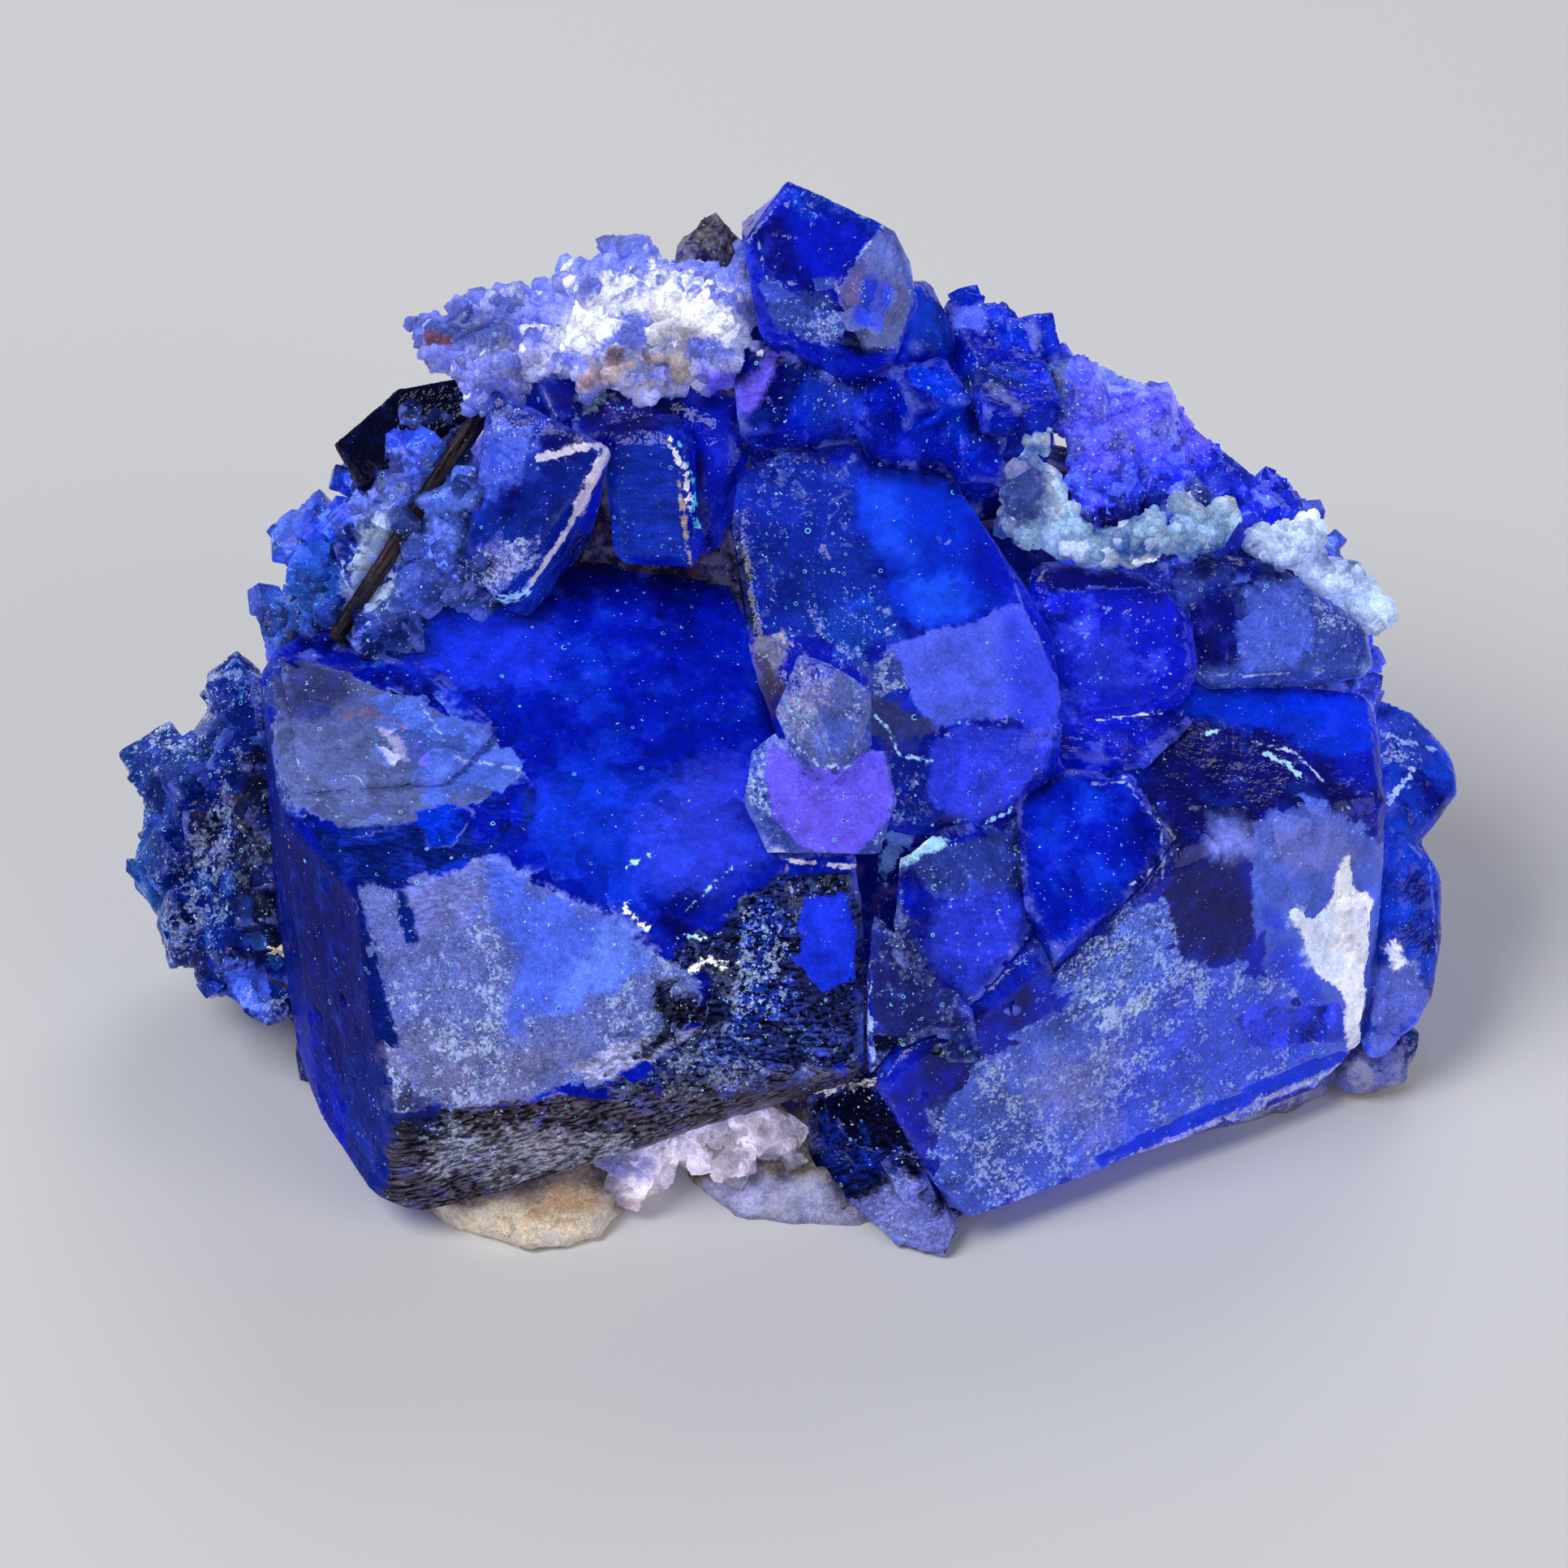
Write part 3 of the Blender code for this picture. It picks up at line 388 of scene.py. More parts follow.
        zone("slate", (9.6, -7.8), (14.4, -5.5), (17.8, -11.4), (11.6, -15), soft=1.6, ragged=1.4,
             speck=1, strength=0.6),
        zone("haze", (17.1, -6.6), (20.1, -5.9), (21.9, -9.8), (20, -11.7), soft=1.8, ragged=1.4,
             speck=1, strength=0.6),
        zone("slate", (17, -2.3), (19.3, 1.1), (21.1, 3), (20.2, -0.5), (18.1, -2.9), soft=1.2,
             ragged=1.4),
        zone("sky", (19, 3), (22.7, 5.8), (24.5, 3.7), (24, -0.6), (19.9, -1.6), (18.1, 0.4),
             soft=1.8, ragged=1.6, speck=1.4, strength=0.6),
        zone("pale", (19.9, -0.9), (24, -0.4), (23.4, -1.8), (20.9, -2.2), soft=0.6, ragged=1.4,
             speck=1.2, strength=0.8),
        zone("violet", (29.1, -1.9), (31.8, -1.1), (37.1, -1.1), (37.7, -4), (31.1, -4.2),
             soft=0.25, ragged=0.5, rim=0.4, shard=1, matte=0.1, speck=0.3),
        zone("cobalt", (20.2, -11.2), (28.8, -7.4), (37.2, -4.2), (38.3, -5), (29.4, -8.6),
             (21.1, -12.1), soft=0.3, ragged=0.3, matte=0.08, speck=0.2, rim=0.5),
        # a lilac patch: painted highlight
        zone("lilac", (27.6, 11.3), (29.7, 11.3), (30.7, 9.2), (28.9, 8.2), (27.5, 9.4), soft=1.4,
             ragged=0.7),
        zone("snow", (33.2, 5.1), (35.2, 4.6), (36.3, 8.1), (36.9, 9), (37.5, 6.8), (38.5, 5.7),
             (38.7, 1.8), (38.5, -4.1), (37.5, -4.4), (37.2, -0.6), (35, 1.4), soft=0.2,
             ragged=0.55, lift=0.15, rough=0.15, matte=0.5, speck=0.1),
        zone("pale", (33.8, 4.6), (36, 4.9), (36.2, 1.3), (34.8, 1.9), soft=0.8, ragged=1.8,
             strength=0.6),
        zone("pale", (38.2, -4), (39.8, -1.5), (40.8, -4.3), (37.9, -5.8), soft=0.8, ragged=1,
             strength=0.6),
        vein("bone", 0.3, (20.5, -12.3), (28.8, -8.9), (35, -6.5), (38, -5.2), soft=0.3, ragged=0.4,
             strength=0.6),
        # an ice-coloured streak on the top: painted highlight
        vein("ice", 0.3, (31.4, 15.4), (32.7, 14.8), (33.8, 13.8), ragged=0.5),
        vein("pale", 0.12, (30.5, 16.1), (33.2, 15.6), (35.2, 13.7), ragged=0.3),
        vein("ice", 0.2, (27.2, 16.3), (27.7, 16.7), (28.4, 16.9), ragged=0.5),
        vein("rust", 0.10, (18, 0.4), (19.5, 3), (24.3, 7.2), ragged=0.15, strength=0.8),
        vein("pale", 0.12, (23.9, 12.1), (24.6, 9), (24.2, 7.2), ragged=0.2, strength=0.6),
        vein("bone", 0.16, (12.6, -4.1), (14.1, -6.6), (15.5, -7), ragged=0.2, strength=0.7),
    ),
    "centre_rounded_crystal": (
        zone("sea", (-3.3, 32.4), (-0.4, 34.4), (4.4, 34.6), (4.9, 30.6), (7, 25), (1.7, 22.6),
             (-1.7, 23.7), (-3.5, 28.8), soft=1.6, ragged=1.4, speck=0.55, strength=0.9),
        zone("navy", (-3.6, 30.5), (1, 29.5), (2.3, 24.2), (-1.4, 23.4), soft=2, ragged=1.6,
             speck=0.5, strength=0.8),
        zone("lagoon", (1.7, 23.9), (6.2, 25.5), (8, 22.6), (3.8, 21.3), soft=1, ragged=1.4,
             speck=0.8),
        zone("cobalt", (4.9, 32.5), (6.5, 34.1), (9.7, 33.8), (11.8, 32.5), (14.7, 28.8),
             (15.6, 25), (14.9, 24.4), (13, 24.5), (11.2, 23.4), (7.5, 23.8), (6.2, 27.4),
             (4.5, 30.6), soft=0.8, ragged=0.7, speck=0.05, matte=0.08, shard=0.15),
        # a lighter azure patch: painted highlight
        zone("azure", (4.8, 32.8), (7, 32.8), (8.3, 27.9), (5.7, 28.5), soft=2.6, strength=0.9),
        zone("azure", (7.5, 26.6), (11.2, 26.8), (12.2, 24.5), (8.6, 23.8), soft=1.8),
        zone("deep", (12, 30.6), (14.7, 28.2), (15.5, 24.9), (13.4, 25.2), (12, 27.4), soft=1.8),
        zone("iris", (6.2, 22.1), (11.2, 23.6), (14.9, 24.8), (16.7, 22.6), (18.1, 20.6),
             (17.4, 17.3), (11.6, 17.3), (9.5, 16.6), (7.6, 19.5), soft=0.3, ragged=0.6, speck=0.2,
             matte=0.28, shard=0.1),
        zone("violet", (14.6, 24.6), (18.2, 20.6), (17.4, 17.3), (14.5, 17.3), (13.9, 22.1),
             soft=1.8, strength=0.8),
        zone("violet", (9.5, 16.6), (11.6, 17.3), (17, 17.3), (16.1, 14), (12.2, 10.5), (9, 11.6),
             (8.5, 14.2), soft=0.5, ragged=0.9, streak=0.12, speck=0.3),
        zone("navy", (7.2, 15), (9.5, 16.1), (9.5, 11.6), (12.2, 10.5), (7.3, 11.1), soft=0.6,
             ragged=1.2, speck=0.7),
        zone("smoke", (5.2, 19.4), (7.5, 19.2), (9.5, 16.6), (6.9, 15.3), (5.4, 16.8), soft=0.9,
             ragged=1),
        zone("slate", (4.9, 21), (7, 21.8), (8, 19.5), (5.6, 19.2), soft=0.8, ragged=1, speck=0.8),
        zone("night", (8.1, 34.8), (10.7, 34.8), (12.6, 33), (11.8, 32.5), (9.7, 33.9), soft=0.4),
        zone("deep", (11.8, 33.2), (12.9, 32.8), (17.6, 22.5), (19, 18), (17.5, 20.3), (15.5, 25),
             soft=0.3, ragged=0.3, rim=0.4),
        vein("pale", 0.10, (12.6, 32.8), (16.3, 26.3), (18.3, 21), ragged=0.1, strength=0.6),
        vein("ice", 0.16, (5.8, 17.8), (6.9, 16.6), (7.2, 15.3), (9.5, 14.9), ragged=0.3),
        vein("ice", 0.16, (9.8, 9.9), (12.2, 10.5), (14.9, 12.1), ragged=0.4),
        # a dark strip along its left edge, against its neighbour: painted shade
        zone("ink", (-4.4, 30.8), (-3.3, 30.9), (-1.1, 22.1), (-2.3, 22.9), soft=0.4),
        zone("ash", (-2.1, 22.9), (-0.3, 23), (0.5, 22.2), (-0.3, 20.2), (-1, 18.4), (-2, 20.1),
             soft=0.5, ragged=0.8, matte=0.5, speck=0.6, strength=0.85),
        zone("umber", (-1.6, 21.5), (-0.3, 21), (-0, 17.6), (-1, 17.5), (-1.8, 19.6), soft=0.9,
             ragged=1.2, strength=0.85),
        vein("sand", 0.14, (-2, 22.8), (-0.4, 23), (0.5, 22.3), ragged=0.3),
    ),
    "small_violet_cube": (
        zone("pane", (-3, 15.8), (-0.9, 16.2), (-1, 11.4), (-2.3, 12.2), soft=0.3, ragged=0.5,
             speck=1.3, shard=0.6),
        zone("orchid", (-0.9, 16), (1.7, 14.3), (3.9, 14.8), (6.1, 15.8), (7.1, 12.9), (6.1, 10.1),
             (4.4, 8.8), (0.9, 9.5), (-0.6, 11.1), (-1.3, 13.7), soft=0.25, ragged=0.4, speck=0.2,
             matte=0.26, shard=0.1),
        zone("slate", (4.8, 9.3), (7.1, 11.6), (7.1, 8.9), soft=0.4, speck=0.6),
        zone("window", (-0.1, 20.2), (3.3, 21.1), (5.9, 18.9), (5.1, 16.8), (3.9, 14.4),
             (2.2, 14.6), (-0.3, 17), soft=0.25, ragged=0.5, speck=0.7, rim=0.5, matte=0.3,
             shard=0.4),
        zone("lavender", (1.7, 18.3), (4.8, 17.8), (3.8, 14.7), (2.2, 15), soft=1, strength=0.7),
        zone("rose", (0.1, 20), (2, 20.5), (3.3, 19.4), (2, 17.6), (0.3, 17.8), soft=1.4,
             ragged=1.4, strength=0.5),
        zone("plum", (-0.3, 21), (1.7, 22.4), (3.9, 21.1), (1.7, 19.8), (0.1, 19), soft=0.5,
             ragged=0.6, matte=0.1),
        zone("sand", (-2, 22.6), (0.4, 22.9), (1.7, 22.1), (0.2, 21.3), (-0.6, 18.9), (-1.4, 19.5),
             soft=0.3, ragged=0.5, matte=0.5),
        zone("rust", (-1.1, 19.5), (-0.2, 19.4), (-0.5, 17.7), (-1, 18), soft=0.3, ragged=0.4),
        vein("pale", 0.16, (-0.2, 16.9), (2.2, 14.5), (4, 14.6), ragged=0.3),
        vein("bone", 0.3, (-0.9, 9.2), (3.3, 8.4), (6.7, 8.2), ragged=0.3),
    ),
    "front_blue_crystals": (
        zone("slate", (7.6, 8.8), (15.4, 11.2), (17.4, 8.5), (14.8, 6.3), (9.5, 5.8), soft=0.6,
             ragged=0.8, speck=0.4, strength=0.7),
        zone("violet", (9.5, 6.2), (13.2, 6.8), (17, 6.4), (17.9, 2.2), (15.4, -1.5), (11.6, -0.8),
             (8.5, 2.3), soft=1.4, ragged=1.4, streak=0.15, strength=0.7),
        zone("char", (5.4, 6.3), (7.9, 5.4), (9.5, 2.3), (11.9, -1.4), (12.5, -4.9), (6, -6.2),
             (5.1, 0.9), soft=1.2, ragged=1.4, rough=0.2, matte=0.3, speck=0.5, strength=0.85),
        zone("ink", (5.7, -2.8), (10.3, -3.2), (10.9, -6.2), (6.2, -6.5), soft=0.3, ragged=0.5,
             rim=0.4, shard=1, matte=0.06),
        zone("ice", (6.3, 9.4), (7.6, 10), (11.6, 9.9), (9, 8.9), (7.5, 8.1), (6.3, 7.1), soft=0.3,
             ragged=0.6, lift=0.1, rough=0.15),
        zone("snow", (6.4, 9.3), (9.2, 9.6), (7.4, 8.3), (6.5, 7.9), soft=0.3, ragged=0.5),
        zone("bone", (0.9, 8.8), (6.1, 8.1), (5.7, 6.3), (3.8, 6.4), (0.9, 7), soft=0.25,
             ragged=0.4),
        zone("soot", (1.8, 8.2), (4.3, 7.8), (4.1, 6.6), (1.7, 7), soft=0.3, ragged=0.6),
        vein("orchid", 0.12, (10.5, 5.8), (11.2, 2.5), ragged=0.3, strength=0.7),
        vein("orchid", 0.10, (12.4, 6.2), (13.4, 1.2), ragged=0.3, strength=0.6),
        vein("orchid", 0.10, (13.5, 5.9), (14.8, 1.7), ragged=0.3, strength=0.6),
        vein("pale", 0.22, (5.2, 5.2), (5.5, -0.7), (5.8, -5.5), ragged=0.6, strength=0.6),
    ),
    "low_front_crystals": (
        zone("ink", (2.3, -6.1), (9.3, -5.9), (8.9, -10.8), (3.9, -10.3), soft=0.5, ragged=0.8,
             shard=1, rim=0.25),
        zone("smoke", (-2.8, -8.1), (1.8, -6.9), (2.3, -10.9), (-0.4, -13.9), soft=0.5),
        zone("haze", (4.2, -14.7), (7.6, -12.3), (11.6, -15), (10.9, -17.6), (7.4, -17.5), soft=1.2,
             ragged=1.2, rough=0.15, speck=0.5, streak=0.3, strength=0.8),
        vein("bone", 0.3, (2, -6.9), (6.2, -6.1), (9.6, -6.5), ragged=0.5),
    ),
    "right_violet_cube": (
        zone("vivid", (17.4, 26.2), (25, 25.3), (27.2, 19), (19.9, 17.4), (18.3, 22.2), soft=0.6,
             ragged=0.8, speck=0.3, strength=0.4),
        zone("violet", (18.7, 23.8), (22.4, 23.8), (22.9, 19.5), (19.2, 19.5), soft=1.6, ragged=1.6,
             strength=0.7),
        zone("deep", (22.9, 24.3), (25.5, 23.2), (26.7, 19.6), (24.3, 19.5), soft=1.6, ragged=1.6,
             strength=0.8),
        zone("night", (14.7, 28.2), (19.7, 28.1), (25.8, 25.9), (17.6, 26), soft=0.5, ragged=0.5,
             rim=0.35),
        vein("snow", 0.2, (20.3, 17.5), (22.4, 17.9), (24.5, 18.1), ragged=0.3),
    ),
    "right_upper_crystal": (
        zone("night", (26.1, 25.3), (28.5, 26.4), (30.1, 24.4), (29.6, 21.1), (26.6, 21), soft=0.9,
             ragged=1, speck=0.2),
        zone("lavender", (29.9, 26.6), (33.8, 26.7), (35, 22.8), (33.4, 21.4), (30.3, 21.1),
             (30.1, 23.8), soft=0.6, ragged=0.8, speck=0.5, strength=0.85),
        zone("slate", (34.9, 25.7), (39.8, 22.5), (39.7, 18.6), (34.9, 20.9), soft=0.6, ragged=0.8,
             speck=0.9),
        zone("mint", (37.8, 21.8), (40.2, 21.4), (40, 18.9), (38.2, 19.7), soft=0.6, ragged=0.6,
             strength=0.5),
        vein("pale", 0.14, (27.4, 20.8), (30.1, 20.5), (33.3, 20.7), ragged=0.1),
    ),
    "right_edge_crystals": (
        zone("slate", (40.6, 18.1), (42.8, 17.6), (44.1, 14.8), (41.7, 13.7), (40.1, 15.4),
             soft=0.8, ragged=1, speck=1.1, strength=0.7),
        vein("pale", 0.3, (40.3, 12.4), (41.5, 13.7), (42.6, 14.8), ragged=0.6),
        vein("pale", 0.2, (40, 17), (41.6, 16.2), (43.6, 15.6), ragged=0.5, strength=0.7),
        zone("frost", (39.2, 1.5), (42.2, 1.7), (43.4, -1.5), (39.5, -4.8), soft=0.6, ragged=0.8,
             matte=0.3, speck=0.6, strength=0.85),
        zone("snow", (39.9, 2.6), (41.1, 2.9), (41.6, 1.5), (40.6, 0.6), soft=0.3, ragged=0.8,
             lift=0.12),
        vein("lilac", 0.14, (40.4, 10.5), (43.1, 8), (43.6, 1.8), ragged=0.1, strength=0.6),
    ),
    "top_crystals": (
        zone("night", (-2.2, 49.2), (-0.4, 49.8), (1.7, 45.9), (-0.9, 45.7), soft=0.9, ragged=1.2),
        zone("lagoon", (0.2, 52), (4.9, 50.9), (6.4, 49.1), (4.4, 49.7), (1.2, 50.5), soft=1.2,
             ragged=1, speck=0.8, strength=0.8),
        zone("deep", (0.4, 49.6), (4.6, 49.3), (3.6, 46.2), (1.7, 45.9), soft=1.4),
        zone("slate", (-1.7, 45.7), (3.3, 45.5), (3.9, 41.7), (-0.6, 42.9), soft=0.5, ragged=1,
             speck=0.9, shard=0.8),
        zone("window", (6.6, 49.7), (8, 47.8), (8.3, 44.8), (7.1, 41.6), (4.8, 41.6), (3.3, 44.7),
             (4.2, 46.7), soft=0.2, ragged=0.4, shard=0.9, rim=0.4, matte=0.08, speck=0.3),
        zone("rose", (3.6, 45.6), (5.1, 46.9), (5, 44.5), (3.9, 44.2), soft=0.5, ragged=0.8,
             strength=0.7),
        zone("blue", (5, 46.1), (6.8, 45.7), (6.2, 43), (4.7, 43.4), soft=0.6, ragged=0.8,
             strength=0.8),
        zone("lagoon", (8, 46.8), (10.5, 46.2), (11.3, 41.9), (8.1, 41.8), soft=1, strength=0.7),
        vein("pale", 0.12, (-2, 49.5), (-1.1, 45.9), (1.7, 45.5), ragged=0.2, strength=0.5),
        vein("pale", 0.12, (6.6, 49.7), (4.2, 46.7), (3.3, 44.7), ragged=0.2, strength=0.6),
    ),
    "upper_blue_crystals": (
        zone("night", (-2.2, 41.2), (1.2, 43.1), (1.5, 39.5), (-0.9, 35.9), (-2.7, 36.9), soft=1.2,
             ragged=1.2, streak=0.2),
        zone("orchid", (-3.3, 39.2), (-1.9, 40.4), (-0.3, 40.9), (-1.2, 39), (-2.7, 38), soft=0.8,
             ragged=1.2, strength=0.7),
        zone("sea", (1.7, 41.8), (4.9, 42.2), (5, 36.7), (1.7, 36.9), soft=1.8, ragged=1.6,
             speck=0.35),
        zone("cobalt", (8.3, 40.3), (11.6, 40.1), (13.1, 34.8), (10.2, 35.6), soft=1.2, ragged=1.4,
             speck=0.4, strength=0.8),
        zone("violet", (2.5, 39.6), (4.9, 39.1), (4.9, 36.7), (3.1, 37.2), soft=1, ragged=1.4,
             strength=0.4),
    ),
    "ridge_crystals": (
        zone("iris", (10.9, 44.7), (13.1, 44.8), (13, 42.9), (10.9, 43), soft=0.3),
        zone("navy", (11.9, 40.6), (15.7, 40.8), (15.6, 39.1), (11.8, 38.5), soft=0.6),
        vein("haze", 0.7, (13.5, 39.1), (14.4, 38.4), (15.2, 37.7), soft=0.5, ragged=0.6,
             strength=0.6),
        vein("frost", 0.8, (16.1, 43.6), (16.5, 42), soft=0.5, ragged=0.6, strength=0.7),
    ),
    "upper_left_crystals": (
        zone("night", (-14.2, 40), (-6.3, 39.5), (-6.5, 36.8), (-12.8, 36.2), soft=0.8, ragged=0.8),
        zone("deep", (-6.5, 38.5), (-2.2, 38), (-1.5, 34.9), (-4.4, 30.3), (-5.6, 32.8),
             (-6.5, 36.5), soft=0.6, ragged=0.6, matte=0.06, speck=0.1),
        zone("sea", (-11.7, 34.8), (-7.3, 36.2), (-6.3, 32.8), (-6.1, 27.8), (-11.2, 28.6),
             soft=0.6, ragged=0.8, speck=0.25, streak=0.2),
        zone("plum", (-12.3, 39.2), (-8.9, 39.7), (-8.8, 37.5), (-11.8, 37), soft=0.4, ragged=0.6,
             speck=0.6, strength=0.8),
        zone("mint", (-13.6, 38.8), (-11.8, 39.4), (-11.6, 38.1), (-13.2, 37.3), soft=0.4,
             ragged=0.8, strength=0.8),
        # the snow and cyan veins here are a painted highlight streak along the edge
        vein("snow", 0.36, (-7.6, 35.8), (-6.7, 34.2), (-6.2, 31.5), ragged=0.5, lift=0.08),
        vein("cyan", 0.14, (-6.9, 35.7), (-6.1, 33.3), (-5.7, 30.2), ragged=0.3),
        vein("sand", 0.3, (-6.8, 33.3), (-6.6, 30.7), (-6.2, 27.8), ragged=0.4),
        vein("night", 0.5, (-5.5, 35), (-5.3, 30.7), (-4.7, 27.8), soft=0.5),
        vein("cyan", 0.2, (-6.1, 31.7), (-5.8, 30.2), ragged=0.6),
    ),
    "veined_crystal": (
        zone("lobe", (-20.9, 37.3), (-17.3, 37.2), (-16.5, 33.8), (-19.5, 32.3), soft=1.2,
             ragged=1.6, speck=0.5, strength=0.7),
        zone("navy", (-16.5, 34.6), (-12.2, 34.7), (-14.2, 30.4), (-16.3, 27.5), (-17.6, 30.1),
             soft=0.6, ragged=0.8, speck=0.25, strength=0.8),
        zone("iris", (-21.1, 28.9), (-17.3, 30.1), (-16.2, 28.1), (-18.5, 25.9), (-20.6, 26.9),
             soft=1.4, ragged=2, speck=1.2, strength=0.5),
        zone("milk", (-20, 28.6), (-17.3, 29.4), (-17.4, 27.5), (-19.5, 26.9), soft=1.4, ragged=2.4,
             strength=0.5),
        vein("bone", 0.46, (-16, 34.6), (-13.8, 35.2), (-11.6, 35.4), ragged=0.35, lift=0.08),
        vein("bone", 0.66, (-11.6, 35), (-12.4, 33.5), (-13.6, 31.3), ragged=0.35, lift=0.08),
        vein("bone", 0.28, (-13.6, 31.3), (-14.7, 29.4), (-16.7, 26.7), ragged=0.2, lift=0.08),
        vein("deep", 0.5, (-11.2, 34.9), (-11.9, 33.1), (-13.3, 30.4), soft=0.4),
        vein("ice", 0.32, (-16.5, 39.7), (-15.5, 39), (-14.2, 38.6), ragged=0.8),
        vein("ice", 0.3, (-19.9, 26.1), (-18.4, 25.6), (-16.9, 26.2), ragged=0.5),
    ),
    "rock": (
        # navy over the rock between the crystals, and night in the gap beside the centre crystal:
        # painted shade
        zone("navy", (-46, -4), (-30, -9), (46, -6), (46, 62), (-46, 62), soft=1.6, ragged=1.6),
        zone("night", (-14.6, 34.8), (-8.8, 34.9), (-0.4, 31.7), (-0.4, 25.3), (-14.9, 25.6),
             soft=1, ragged=1.2),
        zone("umber", (-4.1, 30.8), (-3.1, 30.6), (-1.7, 22.1), (-2.9, 22.3), soft=0.4),
        zone("ice", (5.8, 8.3), (6.9, 10), (8.3, 10.7), (7.6, 8.4), (6.5, 7.1), soft=0.4,
             ragged=0.8),
        zone("umber", (-6.8, 50.6), (-2.2, 50.1), (-2.2, 46.7), (-6.8, 49.1), soft=0.8, ragged=1),
        zone("cream", (-23.8, -14.5), (-17.4, -14), (-6.8, -12.6), (-6.3, -18.7), (-23.9, -18.4),
             soft=0.8, ragged=1.2),
        zone("ochre", (-20.1, -14.4), (-14.8, -13.5), (-7.9, -13.7), (-10, -14.7), (-16.9, -15),
             soft=1, ragged=1.6, strength=0.8),
        zone("milk", (-4.6, -11.9), (6, -12.4), (7.1, -18.3), (-6.3, -15.4), soft=1, ragged=1.4),
        zone("haze", (10.8, -12.8), (40.9, -2.6), (42.4, -6.6), (12.4, -16), soft=0.8, ragged=1.2,
             speck=0.8),
        zone("grey", (16.7, -11.9), (20.8, -10.4), (21.3, -12.5), (17.3, -14), soft=0.6, ragged=1),
    ),
    "white_druse": (
        zone("lilac", (-21.5, 42.2), (-18.4, 45.5), (-11, 48.2), (-5.7, 49.4), (-1.9, 48.3),
             (-3.5, 46.5), (-8.8, 46.4), (-13, 44.3), (-14.7, 42.3), (-19.3, 41.1), soft=2.4,
             ragged=2, strength=0.8),
        zone("slate", (-24.3, 43.5), (-18.4, 45.2), (-16.3, 43.4), (-18.3, 41.1), (-21.5, 41.7),
             soft=2.4, ragged=2, strength=0.8),
        zone("haze", (-24.8, 42.1), (-21.5, 41.2), (-17.3, 40.7), (-14.2, 39.8), (-17.4, 38.7),
             (-22.9, 40), soft=1.4, ragged=1.6, strength=0.8),
        zone("snow", (-14.7, 43.4), (-12.4, 45), (-8.8, 46.4), (-7.3, 47.8), (-6.2, 45.9),
             (-3.5, 45.4), (-1.7, 42.2), (-3.5, 41.1), (-6.7, 42.7), (-10.3, 43.1), (-13.1, 41.2),
             (-15.2, 41.3), soft=1.4, ragged=2.2),
        zone("milk", (-18.3, 41.6), (-13.1, 41.2), (-8.8, 40.2), (-4.1, 41.6), (-2.5, 46.4),
             (-1.2, 43.2), (-1.4, 39), (-8.9, 37.9), (-17.3, 39.2), soft=1.6, ragged=2,
             strength=0.75),
        zone("ash", (-10.4, 41.7), (-6.7, 42.7), (-5.1, 41.2), (-5.7, 39.8), (-9.4, 39.6), soft=1.2,
             ragged=1.6, strength=0.7),
        zone("sand", (-8.8, 40.7), (-6.2, 41.1), (-5.1, 39.5), (-7.8, 39.5), soft=1.2, ragged=1.8,
             strength=0.6),
        zone("rust", (-23.2, 43), (-21.5, 42.4), (-21.7, 41.7), (-23, 42.2), soft=0.5, ragged=0.8,
             strength=0.9),
        zone("rust", (-11.3, 41.6), (-10.6, 41.5), (-10.8, 40.8), (-11.5, 40.8), soft=0.4,
             ragged=0.6, strength=0.8),
        zone("ochre", (-14.2, 40.4), (-10.9, 40), (-8.8, 40.4), (-8.8, 39.6), (-13.1, 39.5),
             soft=0.8, ragged=1.4, strength=0.6),
        zone("orchid", (-5.7, 40.4), (-3.3, 40.6), (-3.3, 37.9), (-5.2, 38.2), soft=0.8, ragged=1),
    ),
    "left_slope_crystals": (
        zone("blue", (-34.2, 26.8), (-30.7, 33.2), (-25, 37.3), (-23.8, 35.1), (-29.3, 30.9),
             (-31, 26.6), soft=2, ragged=2.4, strength=0.7),
        zone("iris", (-28.4, 33.7), (-23.9, 35.9), (-23.9, 34.3), (-27.8, 32.3), soft=0.5,
             ragged=0.8, strength=0.8),
        zone("pale", (-28.3, 29.8), (-26.1, 31.2), (-25.7, 28.2), (-27.4, 24.1), (-28.8, 25.5),
             soft=0.8, ragged=1.6, strength=0.85),
        zone("sky", (-23.5, 32.6), (-20.6, 33.1), (-20.5, 28.6), (-23, 28.1), soft=0.8, ragged=1.6,
             strength=0.8),
        zone("teal", (-33.8, 27.7), (-30.7, 30), (-29.3, 25.5), (-31.5, 23.4), (-34.5, 23.5),
             soft=1.4, ragged=2, strength=0.7),
        zone("window", (-28.4, 33.7), (-25, 34.6), (-25.4, 31.3), (-28.2, 30.3), soft=1.2,
             ragged=1.8, strength=0.7),
        zone("sky", (-28.8, 23.1), (-27.4, 23.3), (-27.9, 21.5), (-28.9, 21.6), soft=0.4,
             ragged=0.8),
        vein("ochre", 0.5, (-30.3, 22.7), (-28.7, 21.8), ragged=1, strength=0.8),
    ),
    "left_lobe_crystals": (
        zone("slate", (-43.7, 17), (-38.7, 20.3), (-36.9, 17), (-41, 11), (-44.4, 11), soft=1.6,
             ragged=2.4, speck=1, strength=0.6),
        zone("soot", (-36.7, 15.3), (-34.1, 18), (-32.4, 11.6), (-31.7, 3.1), (-35.8, 1.2),
             (-37.4, 7.2), soft=1.4, ragged=1.8, strength=0.9, speck=0.5),
        zone("umber", (-40.6, 11.5), (-37.2, 12.6), (-37.4, 7.7), (-40, 8.3), soft=1.6, ragged=2.4,
             strength=0.6),
        zone("lobe", (-37.5, 1.3), (-34.8, 0.6), (-34.1, -2.6), (-35.1, -2.6), (-37.1, -0.9),
